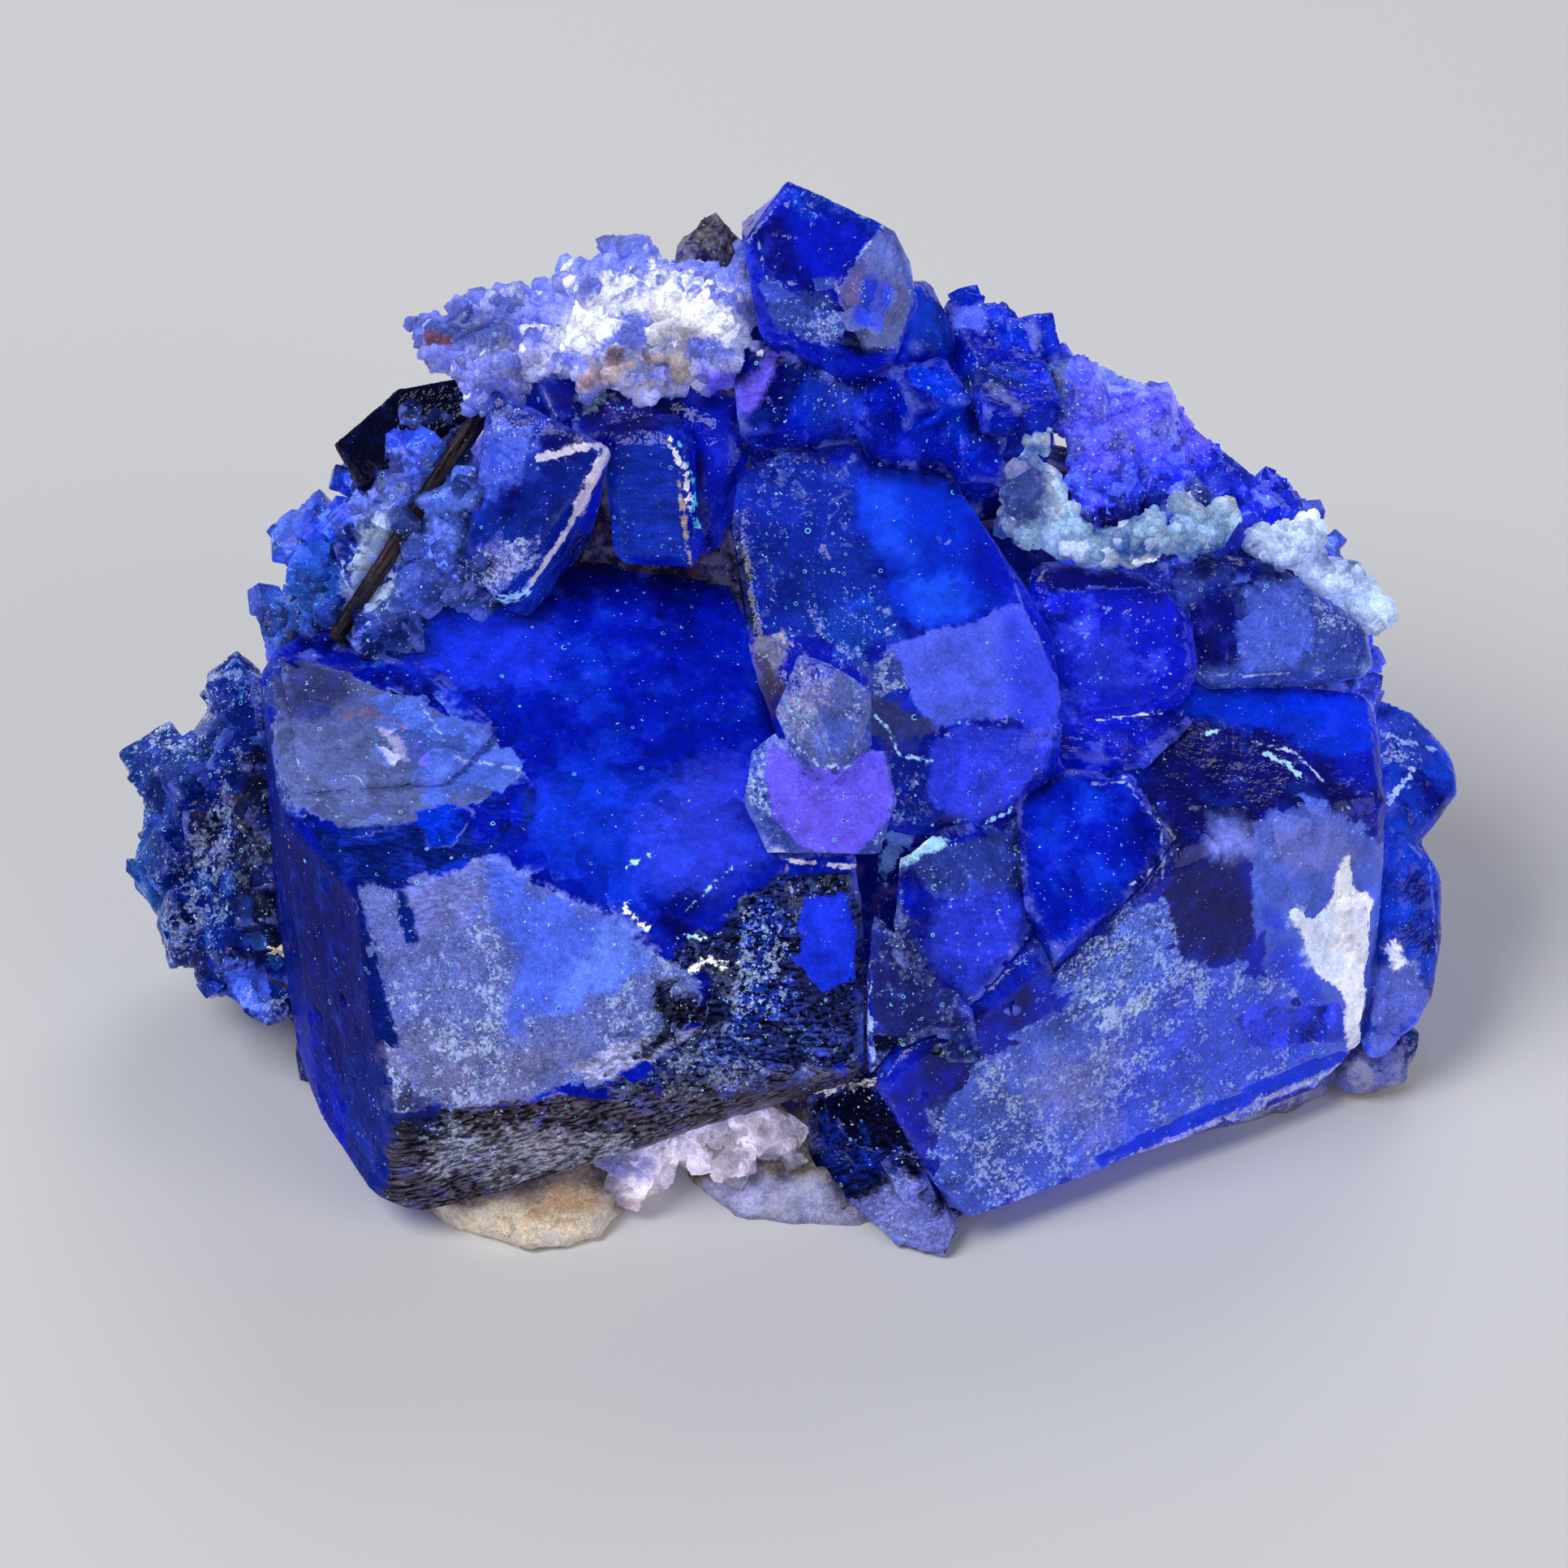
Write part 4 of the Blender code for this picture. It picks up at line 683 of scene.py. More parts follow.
             soft=1, ragged=1.4, strength=0.85),
        vein("cream", 0.5, (-34.4, 2.2), (-32.3, 2.6), ragged=1),
    ),
    "violet_slope_crystals": (
        zone("deep", (27.1, 37.9), (34.2, 33.7), (36, 30.8), (32, 31), (25.8, 33.5), soft=1.6,
             ragged=2.2, strength=0.85),
        zone("orchid", (18.3, 42), (25.3, 39.9), (27.7, 36.4), (20.3, 32.8), (18.7, 36.7), soft=2.4,
             ragged=2.2, strength=0.5),
        zone("lilac", (20.9, 42.4), (24.6, 42.2), (24.3, 40), (21.6, 39.4), soft=1.2, ragged=1.6,
             strength=0.7),
        zone("slate", (17.2, 41.4), (18.8, 41.4), (18.7, 38.1), (17.1, 38), soft=0.8, ragged=1.4),
        zone("lavender", (34.2, 32.6), (39.3, 28.7), (39.9, 24.5), (36.1, 27.6), soft=1.4, ragged=2,
             strength=0.8),
        vein("rust", 0.25, (27.1, 38.5), (28.8, 37.5), (30.5, 36.2), ragged=1.2),
        vein("umber", 0.4, (33.3, 27.6), (36.7, 25.8), (38.8, 22.8), ragged=1),
    ),
    "pale_crust_left": (
        zone("navy", (13.6, 33.8), (16.4, 35), (16.9, 30.7), (15, 29.6), (13.4, 30.9), soft=1.4,
             ragged=1.6, strength=0.9),
        zone("snow", (22.2, 27.8), (24.7, 28.1), (25.3, 26.3), (22.9, 26.4), soft=0.6, ragged=0.8),
    ),
    "pale_crust_right": (
        zone("window", (25.9, 28.2), (27.8, 29.7), (28.5, 27.6), (26.9, 26.5), soft=1, ragged=1.2,
             strength=0.8),
    ),
    "front_quartz": (
        zone("ochre", (-14.2, -14), (-9, -13.7), (-7.9, -14.8), (-13.2, -15.1), soft=0.8,
             ragged=1.2, strength=0.6),
        zone("plum", (-16.4, -13.5), (-14.8, -12.7), (-14.2, -14.8), (-16.1, -15), soft=0.6,
             ragged=0.8, strength=0.7),
        zone("slate", (-13.1, -11.2), (-9.5, -10.6), (-8.9, -11.9), (-12.1, -13), soft=0.8,
             ragged=1.2, strength=0.7),
    ),
}

# Small crystals that stand on a skin, with their fields in the order of Crop
CROPS = {
    "white_druse": Crop(900, 0.7, 1.7, (0, -0.5, 0.7), -0.3, 0.0, "bead", 101),
    "left_slope_crystals": Crop(420, 0.7, 1.9, (-0.4, -0.6, 0.7), 0.05, 0.5, "cube", 102),
    "left_lobe_crystals": Crop(170, 0.7, 2.0, (-0.5, -0.7, 0.6), 0.0, 0.6, "cube", 103),
    "violet_slope_crystals": Crop(380, 0.6, 1.8, (0.2, -0.6, 0.7), 0.05, 0.4, "cube", 104),
    "pale_crust_left": Crop(190, 0.8, 1.7, (0, -0.6, 0.6), -0.2, 0.0, "bead", 105),
    "pale_crust_right": Crop(180, 0.6, 1.3, (0.2, -0.6, 0.6), -0.2, 0.0, "bead", 106),
    "front_quartz": Crop(110, 0.8, 1.8, (0, -0.8, 0.4), 0.0, 0.3, "chunk", 107),
    "ridge_crystals": Crop(40, 0.6, 1.3, (0, -0.4, 0.8), 0.3, 0.5, "cube", 108),
    "upper_blue_crystals": Crop(40, 0.4, 1.0, (0, -0.6, 0.8), 0.3, 0.5, "cube", 109),
    "rock": Crop(260, 0.6, 1.6, (0, 0.2, 0.9), 0.0, 0.2, "chunk", 110),
}



# ---------------------------------------------------------------------------
# Meshes
# ---------------------------------------------------------------------------
MERGE = 0.002        # corners closer than this, in mm, are one
GRID_FILL = 0.95     # share of the grid of a sharp remesh that a piece fills
MENDS = 4            # rounds of mending
MARGIN = 0.01        # how far a skin stays inside the specimen's box, in mm
DRUSE_ROUNDS = 8     # rounds of smoothing under the beads
DRUSE_SWELL = -0.2   # mm


def to_object(name, bm):
    mesh = bpy.data.meshes.new(name)
    bm.to_mesh(mesh)
    bm.free()
    made = bpy.data.objects.new(name, mesh)
    bpy.context.scene.collection.objects.link(made)
    return made


def set_in_stone(made):
    """Leaves the mesh that the modifiers give, and no modifiers."""
    bpy.context.view_layer.update()
    shaped = made.evaluated_get(bpy.context.evaluated_depsgraph_get())
    result = bpy.data.meshes.new_from_object(shaped)
    made.modifiers.clear()
    used = made.data
    made.data = result
    bpy.data.meshes.remove(used)


def meshed_roundly(made, cell):
    """Fine even faces with softened edges."""
    step = made.modifiers.new("even_mesh", "REMESH")
    step.mode = "VOXEL"
    step.voxel_size = cell * MM
    step.use_smooth_shade = True
    set_in_stone(made)


def meshed_sharply(made, cell):
    """Fine even faces that keep the sharp edges, or softened ones where those don't close."""
    plain = made.data.copy()
    span = max(made.dimensions) / MM
    depth = math.ceil(math.log2(span / GRID_FILL / cell))
    step = made.modifiers.new("even_mesh", "REMESH")
    step.mode = "SHARP"
    step.octree_depth = depth
    step.scale = min(GRID_FILL, span / (cell * 2 ** depth))
    step.use_remove_disconnected = False
    step.use_smooth_shade = True
    set_in_stone(made)
    if not mended(made.data):
        made.data = plain
        meshed_roundly(made, cell)


def mended(mesh):
    """Cuts out the spots where more than two faces share an edge, and closes the holes.
    True if the mesh is then closed."""
    bm = bmesh.new()
    bm.from_mesh(mesh)
    for _ in range(MENDS):
        bad = {vert for edge in bm.edges if len(edge.link_faces) != 2 for vert in edge.verts}
        if not bad:
            break
        faces = {face for vert in bad for face in vert.link_faces}
        bmesh.ops.delete(bm, geom=list(faces), context="FACES")
        loose = [vert for vert in bm.verts if not vert.link_faces]
        bmesh.ops.delete(bm, geom=loose, context="VERTS")
        open_edges = [edge for edge in bm.edges if len(edge.link_faces) == 1]
        bmesh.ops.holes_fill(bm, edges=open_edges, sides=0)
    closed = all(len(edge.link_faces) == 2 for edge in bm.edges)
    bmesh.ops.recalc_face_normals(bm, faces=bm.faces[:])
    for face in bm.faces:
        face.smooth = True
    bm.to_mesh(mesh)
    bm.free()
    return closed


def skin_of(node):
    """A closed copy of a CAD node."""
    bm = bmesh.new()
    bm.from_mesh(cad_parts[node].data)
    bmesh.ops.remove_doubles(bm, verts=bm.verts[:], dist=MERGE * MM)
    return to_object(node + "_skin", bm)


def rows_of(items, name, width, kind):
    """A number or more for each item of a mesh, as rows."""
    rows = np.empty(len(items) * width, kind)
    items.foreach_get(name, rows)
    return rows.reshape(-1, width)


def places_of(mesh):
    """The vertices' places in mm."""
    return rows_of(mesh.vertices, "co", 3, np.float32).astype(float) / MM


def place(mesh, places):
    """Moves the vertices, and keeps them within the specimen's box."""
    low, high = (np.array(corner) / MM for corner in cad_box)
    places = np.clip(places, low + MARGIN, high - MARGIN)
    mesh.vertices.foreach_set("co", (places * MM).astype(np.float32).ravel())
    mesh.update()


def normals_of(mesh):
    return rows_of(mesh.vertex_normals, "vector", 3, np.float32).astype(float)


def edges_of(mesh):
    return rows_of(mesh.edges, "vertices", 2, np.int32)


def keep(mesh, name, values):
    attribute = mesh.attributes.new(name, "FLOAT", "POINT")
    attribute.data.foreach_set("value", values.astype(np.float32))


def beside(values, edges):
    """The mean over each vertex's neighbours."""
    total = np.zeros_like(values)
    count = np.zeros(len(values))
    for here, there in ((0, 1), (1, 0)):
        count += np.bincount(edges[:, here], minlength=len(values))
        for k in range(values.shape[1]):
            total[:, k] += np.bincount(edges[:, here], values[edges[:, there], k],
                                       minlength=len(values))
    return total / np.maximum(count, 1)[:, None]


def smoothed(mesh, rounds, swell):
    """Rounds the mesh off, then swells it along its normals by so many mm."""
    places, edges = places_of(mesh), edges_of(mesh)
    for _ in range(rounds):
        places = (places + beside(places, edges)) / 2
    place(mesh, places)
    place(mesh, places + normals_of(mesh) * swell)


def edge_sharpness(places, normals, edges):
    """Above 0 on outer edges and corners, below 0 in grooves."""
    bulge = ((places - beside(places, edges)) * normals).sum(1)[:, None]
    for _ in range(2):
        bulge = beside(bulge, edges)
    return bulge[:, 0]


# ---------------------------------------------------------------------------
# Where zones and neighbours are
# ---------------------------------------------------------------------------
FRONT = (0.0, -0.77, 0.64)    # the way the front faces
TURNED = -0.25    # faces turned further from the front than this, as a cosine, have no zone
TURN_FADE = 6.0   # mm that a zone draws back for each 1 of that cosine


def on_front(places):
    """Across and up, in mm, on the leaning front of the specimen."""
    return places[:, 0], places[:, 1] * math.sin(LEAN) + places[:, 2] * math.cos(LEAN)


def to_segment(x, y, start, end):
    """Distance from points to a line between two points."""
    dx, dy = end[0] - start[0], end[1] - start[1]
    along = np.clip(((x - start[0]) * dx + (y - start[1]) * dy) / (dx * dx + dy * dy), 0, 1)
    return np.hypot(x - start[0] - along * dx, y - start[1] - along * dy)


def inside_by(mark, places, normals):
    """How far inside a zone each point is, in mm. Below 0 is outside."""
    across, up = on_front(places)
    points = mark.outline
    ends = points[1:] if mark.wide else points[1:] + points[:1]
    nearest = np.full(len(across), np.inf)
    within = np.zeros(len(across), bool)
    for start, end in zip(points, ends):
        nearest = np.minimum(nearest, to_segment(across, up, start, end))
        if start[1] != end[1]:
            crosses = (start[1] > up) != (end[1] > up)
            at = (end[0] - start[0]) * (up - start[1]) / (end[1] - start[1]) + start[0]
            within ^= crosses & (across < at)
    if mark.wide:
        result = mark.wide / 2 - nearest
    else:
        result = np.where(within, nearest, -nearest)
    faces_front = -(normals[:, 1] * math.cos(LEAN) - normals[:, 2] * math.sin(LEAN))
    result = np.minimum(result, (faces_front - TURNED) * TURN_FADE)
    return np.clip(result, -FAR, FAR)


def room_beside(node, places):
    """How far each place is from the other crystals, up to ROOM mm."""
    corners, sides = [], []
    for name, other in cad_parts.items():
        if name != node:
            start = len(corners)
            corners += [vertex.co / MM for vertex in other.data.vertices]
            sides += [[start + k for k in face.vertices] for face in other.data.polygons]
    others = BVHTree.FromPolygons(corners, sides)
    found = [others.find_nearest(Vector(p), ROOM)[3] for p in places]
    return np.array([ROOM if away is None else away for away in found])


# ---------------------------------------------------------------------------
# Relief
# ---------------------------------------------------------------------------
WAVES = ((5.0, 1.0), (1.7, 0.5))     # size in mm and share of each kind of wave
STEP_SPACING = 7.0                   # mm
STEPS_EACH = 5
STEP_EDGE = (0.35, 0.5)              # where a step rises, as a share of its width
CHIP_SIZE = 1.4                      # mm
CHIP_DEPTH = 0.35                    # mm
LIFT_EDGE = 0.15                     # mm over which a raised zone rises, either way
BROKEN_EDGE = 0.8                    # mm over which a broken surface deepens
FACETS = ((1.9, 1.0), (0.9, 0.5))    # size in mm and share of each kind of broken face
GRAIN_PATCH = 1.5                    # size in mm of the patches that differ
# for each kind of pit: size and depth in mm, how wide its rim and its floor are as
# shares of its size, and how common it is
PITS = ((1.6, 0.28, 0.34, 0.16, 0.35), (0.85, 0.12, 0.40, 0.20, 0.5))


def ramp(values, low, high):
    t = np.clip((values - low) / (high - low), 0, 1)
    return t * t * (3 - 2 * t)


def elsewhere(seed, *steps):
    """A shift in the patterns that differs from seed to seed."""
    return Vector([seed * step for step in steps])


def ripple(places, size, seed):
    """Smooth unevenness of about the given size in mm, from -1 to 1."""
    shift = elsewhere(seed, 7.1, 3.3, 1.7)
    return np.array([noise.noise(Vector(p) / size + shift) for p in places])


def cobbles(places, size, seed):
    """Distance to the middle of the nearest cell, in cells, and a chance for each cell."""
    shift = elsewhere(seed, 5.3, 2.9, 4.1)
    near, share = [], []
    for p in places:
        distances, points = noise.voronoi(Vector(p) / size + shift)
        near.append(distances[0])
        share.append(noise.cell(points[0] * 9.7) / 2 + 0.5)
    return np.array(near), np.array(share)


def facets(places, size, seed):
    """Flat broken faces that lean this way and that."""
    shift = elsewhere(seed, 1.9, 6.1, 2.3)
    result = []
    for p in places:
        point = Vector(p) / size + shift
        _, points = noise.voronoi(point)
        lean = noise.cell_vector(points[0] * 3.1) * 2 - Vector((1, 1, 1))
        result.append((point - points[0]).dot(lean))
    return np.array(result)


def relief(spec, zones, places, sharp, inside, seed):
    """How far each vertex rises, in mm."""
    lift = np.full(len(places), CLOSE)
    if spec.waves:
        lift += spec.waves * sum(share * ripple(places, size, seed + k)
                                 for k, (size, share) in enumerate(WAVES))
    if spec.steps:
        rise = ripple(places, STEP_SPACING, seed + 2) * STEPS_EACH
        lift += spec.steps * (np.floor(rise) + ramp(rise - np.floor(rise), *STEP_EDGE)) / 2
    if spec.pits:
        for k, (size, depth, rim, floor, common) in enumerate(PITS):
            near, share = cobbles(places, size, seed + 3 + k)
            lift -= depth * ramp(near, rim, floor) * (share > 1 - spec.pits * common)
    if spec.chips:
        worn = ramp(sharp, *WORN_EDGE) * ramp(ripple(places, CHIP_SIZE, seed + 5), 0.0, 0.5)
        lift -= CHIP_DEPTH * spec.chips * worn
    for mark, depth in zip(zones, inside):
        if mark.lift:
            lift += mark.lift * ramp(depth, -LIFT_EDGE, LIFT_EDGE)
        if mark.rough:
            there = ramp(depth, 0.0, BROKEN_EDGE)
            some = there > 0
            broken = np.zeros(len(places))
            broken[some] = sum(share * facets(places[some], size, seed + 6 + k)
                               for k, (size, share) in enumerate(FACETS))
            lift += mark.rough * there * broken
    return lift


# ---------------------------------------------------------------------------
# Small crystals on a skin
# ---------------------------------------------------------------------------
GRAIN_KINDS = 6       # different grains of one shape
BLOCK = 0.9           # width of the block that a grain is made of
BLOCK_BEVEL = 0.07
ROUND = 0.52          # radius of a rounded grain
TRIES = 6             # for each grain
FEWER_LARGE = 1.8     # the higher, the more of the grains are small
SUNK = (0.1, 0.38)    # least and most, of a grain's size
REACH = 0.7           # from a grain's middle, of its size
LYING = 20            # degrees by which grains in order are turned
NARROWER = (0.75, 1.1)
TALLER = (0.8, 1.35)
GRAIN_EDGE = 0.012    # how sharp a grain counts for the wear of its edges and their painted highlight
UNEVEN = {"bead": 0.09, "chunk": 0.15}    # of a grain's size


def grain_patterns(shape, picker):
    """A few different small crystals, each about 1 across."""
    patterns = []
    for _ in range(GRAIN_KINDS):
        bm = bmesh.new()
        bmesh.ops.create_cube(bm, size=BLOCK)
        if shape == "cube":
            bmesh.ops.bevel(bm, geom=bm.edges[:], offset=BLOCK_BEVEL, affect="EDGES",
                            segments=1, profile=0.5, material=-1)
        else:
            bmesh.ops.subdivide_edges(bm, edges=bm.edges[:], cuts=1, use_grid_fill=True)
            uneven = UNEVEN[shape]
            for vert in bm.verts:
                push = Vector([picker.uniform(-uneven, uneven) for _ in range(3)])
                vert.co = vert.co.normalized() * ROUND + push
        for face in bm.faces:
            face.smooth = shape == "bead"
        mesh = bpy.data.meshes.new("grain_" + shape)
        bm.to_mesh(mesh)
        bm.free()
        patterns.append(mesh)
    return patterns


def seat_on(source, triangle, picker):
    """A place picked on a triangle of the mesh."""
    a, b, c = (source.vertices[i].co for i in triangle.vertices)
    s, t = picker.random(), picker.random()
    if s + t > 1:
        s, t = 1 - s, 1 - t
    return a + (b - a) * s + (c - a) * t


def crop_on(name, source, crop):
    """Small crystals standing on a mesh, in one mesh with a chance kept for each."""
    picker = random.Random(crop.seed)
    source.calc_loop_triangles()
    facing = Vector(crop.facing).normalized()
    seats = [(triangle.area, triangle.index) for triangle in source.loop_triangles
             if triangle.normal.dot(facing) > crop.least and triangle.area > 1e-12]
    weights = [seat[0] for seat in seats]
    patterns = grain_patterns(crop.shape, picker)
    bm = bmesh.new()
    low, high = (Vector(corner) for corner in cad_box)
    chances = []
    made = 0
    tries = 0
    while made < crop.count and tries < crop.count * TRIES:
        tries += 1
        triangle = source.loop_triangles[picker.choices(seats, weights)[0][1]]
        at = seat_on(source, triangle, picker)
        size = crop.small + (crop.large - crop.small) * picker.random() ** FEWER_LARGE
        sunk = size * picker.uniform(*SUNK)
        at = at - triangle.normal * sunk * MM
        margin = size * REACH * MM
        if any(at[i] - margin < low[i] or at[i] + margin > high[i] for i in range(3)):
            continue
        spread = 180 * (1 - crop.order)
        turn = Euler([math.radians(LYING + picker.uniform(-spread, spread)) for _ in range(3)])
        stretch = Matrix.Diagonal((1, picker.uniform(*NARROWER), picker.uniform(*TALLER), 1))
        matrix = (Matrix.Translation(at) @ turn.to_matrix().to_4x4()
                  @ Matrix.Scale(size * MM, 4) @ stretch)
        before = len(bm.verts)
        bm.from_mesh(picker.choice(patterns))
        bm.verts.ensure_lookup_table()
        bmesh.ops.transform(bm, matrix=matrix, verts=bm.verts[before:])
        chances += [picker.random()] * (len(bm.verts) - before)
        made += 1
    grains = to_object(name + "_grains", bm)
    keep(grains.data, "grain", np.array(chances))
    return grains


def joined(first, second):
    """Adds the second object's mesh to the first's."""
    bpy.ops.object.select_all(action="DESELECT")
    first.select_set(True)
    second.select_set(True)
    bpy.context.view_layer.objects.active = first
    bpy.ops.object.join()


def keep_surroundings(mesh, node, places, sharp, inside):
    """Keeps what the finish needs to know at each vertex."""
    keep(mesh, "edge", sharp)
    keep(mesh, "room", room_beside(node, places))
    for k, depth in enumerate(inside):
        keep(mesh, f"zone_{k}", depth)


def dress(node, spec, zones, crop, seed):
    """The skin of a node, with its relief and its small crystals."""
    made = skin_of(node)
    beaded = crop and crop.shape == "bead"
    if beaded:
        meshed_roundly(made, spec.cell)
        smoothed(made.data, DRUSE_ROUNDS, DRUSE_SWELL)
    else:
        meshed_sharply(made, spec.cell)
    mesh = made.data
    places, normals, edges = places_of(mesh), normals_of(mesh), edges_of(mesh)
    sharp = edge_sharpness(places, normals, edges)
    inside = [inside_by(mark, places, normals) for mark in zones]
    lift = relief(spec, zones, places, sharp, inside, seed)
    place(mesh, places + normals * lift[:, None])
    keep_surroundings(mesh, node, places, sharp, inside)
    keep(mesh, "grain", cobbles(places, GRAIN_PATCH, seed + 8)[1])
    if crop:
        grains = crop_on(node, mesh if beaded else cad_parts[node].data, crop)
        places = places_of(grains.data)
        front = np.tile(FRONT, (len(places), 1))
        inside = [inside_by(mark, places, front) for mark in zones]
        keep_surroundings(grains.data, node, places, np.full(len(places), GRAIN_EDGE), inside)
        joined(made, grains)
    return made


# ---------------------------------------------------------------------------
# Shader nodes
# ---------------------------------------------------------------------------
class Tree:
    """Short ways to place and join shader nodes."""

    def __init__(self, tree, start=None, end=None):
        self.tree = tree
        self.start = start
        self.end = end

    def plug(self, socket, value):
        if isinstance(value, bpy.types.NodeSocket):
            self.tree.links.new(value, socket)
        else:
            socket.default_value = value

    def add(self, kind, inputs=None, **settings):
        made = self.tree.nodes.new("ShaderNode" + kind)
        for name, value in settings.items():
            setattr(made, name, value)
        for name, value in (inputs or {}).items():
            self.plug(made.inputs[name], value)
        return made

    def given(self, name):
        return self.start.outputs[name]

    def gives(self, name, socket):
        self.tree.links.new(socket, self.end.inputs[name])

    def effect(self, name, inputs):
        made = self.add("Group", node_tree=bpy.data.node_groups[name])
        for label, value in inputs.items():
            self.plug(made.inputs[label], value)
        return made.outputs

    def kept(self, name):
        """A number that the skin keeps at each vertex."""
        return self.add("Attribute", attribute_name=name).outputs["Fac"]

    def math(self, operation, *values, clamp=False):
        made = self.add("Math", operation=operation, use_clamp=clamp)
        for socket, value in zip(made.inputs, values):
            self.plug(socket, value)
        return made.outputs[0]

    def minus(self, first, second, clamp=False):
        return self.math("SUBTRACT", first, second, clamp=clamp)

    def scaled(self, value, factor, more):
        return self.math("MULTIPLY_ADD", value, factor, more)

    def varied(self, value, middle, factor):
        """About 1, and more where the value is above its middle."""
        return self.scaled(self.minus(value, middle), factor, 1.0)

    def times(self, *values):
        result = values[0]
        for value in values[1:]:
            result = self.math("MULTIPLY", result, value)
        return result

    def most(self, *values):
        result = values[0]
        for value in values[1:]:
            result = self.math("MAXIMUM", result, value)
        return result

    def vector(self, operation, first, second):
        made = self.add("VectorMath", {0: first, 1: second}, operation=operation)
        return made.outputs["Value" if operation == "DOT_PRODUCT" else "Vector"]

    def ramped(self, value, low, high, start=0.0, end=1.0):
        """From start at low to end at high, smoothly."""
        made = self.add("MapRange", {"Value": value, "From Min": low, "From Max": high,
                                     "To Min": start, "To Max": end},
                        interpolation_type="SMOOTHSTEP")
        return made.outputs["Result"]

    def mixed(self, share, first, second, how="MIX"):
        made = self.add("Mix", data_type="RGBA", blend_type=how)
        for index, value in ((0, share), (6, first), (7, second)):
            self.plug(made.inputs[index], value)
        return made.outputs[2]

    def blended(self, share, first, second):
        made = self.add("Mix", data_type="FLOAT")
        for index, value in ((0, share), (2, first), (3, second)):
            self.plug(made.inputs[index], value)
        return made.outputs[0]

    def noise(self, place, size, detail, rough):
        return self.add("TexNoise", {"Vector": place, "Scale": 1 / size, "Detail": detail,
                                     "Roughness": rough}).outputs

    def cloud(self, place, size, detail, rough):
        return self.noise(place, size, detail, rough)["Fac"]

    def clouds(self, place, size, detail, rough):
        """Three unlike clouds of one size."""
        return self.split(self.noise(place, size, detail, rough)["Color"])

    def cells(self, place, size):
        return self.add("TexVoronoi", {"Vector": place, "Scale": 1 / size}).outputs

    def split(self, colour):
        return self.add("SeparateColor", {"Color": colour}).outputs


# ---------------------------------------------------------------------------
# Effects that more than one mineral uses
# ---------------------------------------------------------------------------
PLATE = 1.9           # size of the inner plates, in mm
BEND = 1.6            # how far their edges bend, in mm
PAINTED_GLINT_SIDE = (-0.6, -0.5, 0.6)    # the side on which a pit's painted highlight sits
# for each kind of pit: size in mm, its width as a share of that, and what says how common
PIT_KINDS = ((1.35, 0.17, "Amount"), (0.62, 0.27, "Fine"))
FLECK = 0.25          # size of the flecks, in mm
GRAIN = 0.09          # size of the finest grain, in mm
STREAK = 0.26         # width of the streaks, in mm
STREAK_STRETCH = (0.08, 1.0, 1.0)


def new_effect(name, inputs, outputs):
    """A shader node group with named sockets. Each input is (name, kind, value)."""
    group = bpy.data.node_groups.new(name, "ShaderNodeTree")
    for label, kind, value in inputs:
        socket = group.interface.new_socket(name=label, in_out="INPUT",
                                            socket_type="NodeSocket" + kind)
        if value is not None:
            socket.default_value = value
    for label, kind in outputs:
        group.interface.new_socket(name=label, in_out="OUTPUT",
                                   socket_type="NodeSocket" + kind)
    return Tree(group, group.nodes.new("NodeGroupInput"), group.nodes.new("NodeGroupOutput"))


def make_growth_colour():
    """Three tones in soft clouds, as the crystal grew."""
    black = (0, 0, 0, 1)
    effect = new_effect(
        "growth_colour",
        (("Broad", "Float", 0.5), ("Fine", "Float", 0.5), ("Dark", "Color", black),
         ("Middle", "Color", black), ("Light", "Color", black)),
        (("Color", "Color"),))
    level = effect.scaled(effect.given("Broad"), 0.6, effect.times(effect.given("Fine"), 0.4))
    low = effect.mixed(effect.ramped(level, 0.34, 0.50), effect.given("Dark"),
                       effect.given("Middle"))
    effect.gives("Color", effect.mixed(effect.ramped(level, 0.52, 0.68), low,
                                       effect.given("Light")))


def make_cleavage():
    """Angular plates inside the crystal, and the uneven edges of zones and veins, in mm."""
    effect = new_effect(
        "cleavage", (("Place", "Vector", None), ("Bend", "Vector", None),
                     ("Fine", "Float", 0.5)),
        (("Shake", "Float"), ("Crumble", "Float"), ("Shard", "Float")))
    bent = effect.vector("ADD", effect.given("Place"),
                         effect.vector("MULTIPLY", effect.given("Bend"), (BEND,) * 3))
    shard = effect.split(effect.cells(bent, PLATE)["Color"])[0]
    fine = effect.minus(effect.given("Fine"), 0.5)
    effect.gives("Shake", effect.scaled(fine, 1.3, effect.minus(shard, 0.5)))
    effect.gives("Crumble", effect.times(fine, 2.4))
    effect.gives("Shard", shard)


def make_zone_edge():
    """Where a zone is. Inside is the distance in mm, above 0 within it."""
    effect = new_effect(
        "zone_edge",
        (("Inside", "Float", 0.0), ("Shake", "Float", 0.0), ("Soft", "Float", 0.3),
         ("Ragged", "Float", 0.5)),
        (("Mask", "Float"), ("Rim", "Float")))
    reach = effect.scaled(effect.given("Shake"), effect.given("Ragged"), effect.given("Inside"))
    half = effect.times(effect.given("Soft"), 0.5)
    effect.gives("Mask", effect.ramped(reach, effect.times(half, -1.0), half))
    effect.gives("Rim", effect.ramped(effect.math("ABSOLUTE", reach), 0.03, 0.12, 1.0, 0.0))


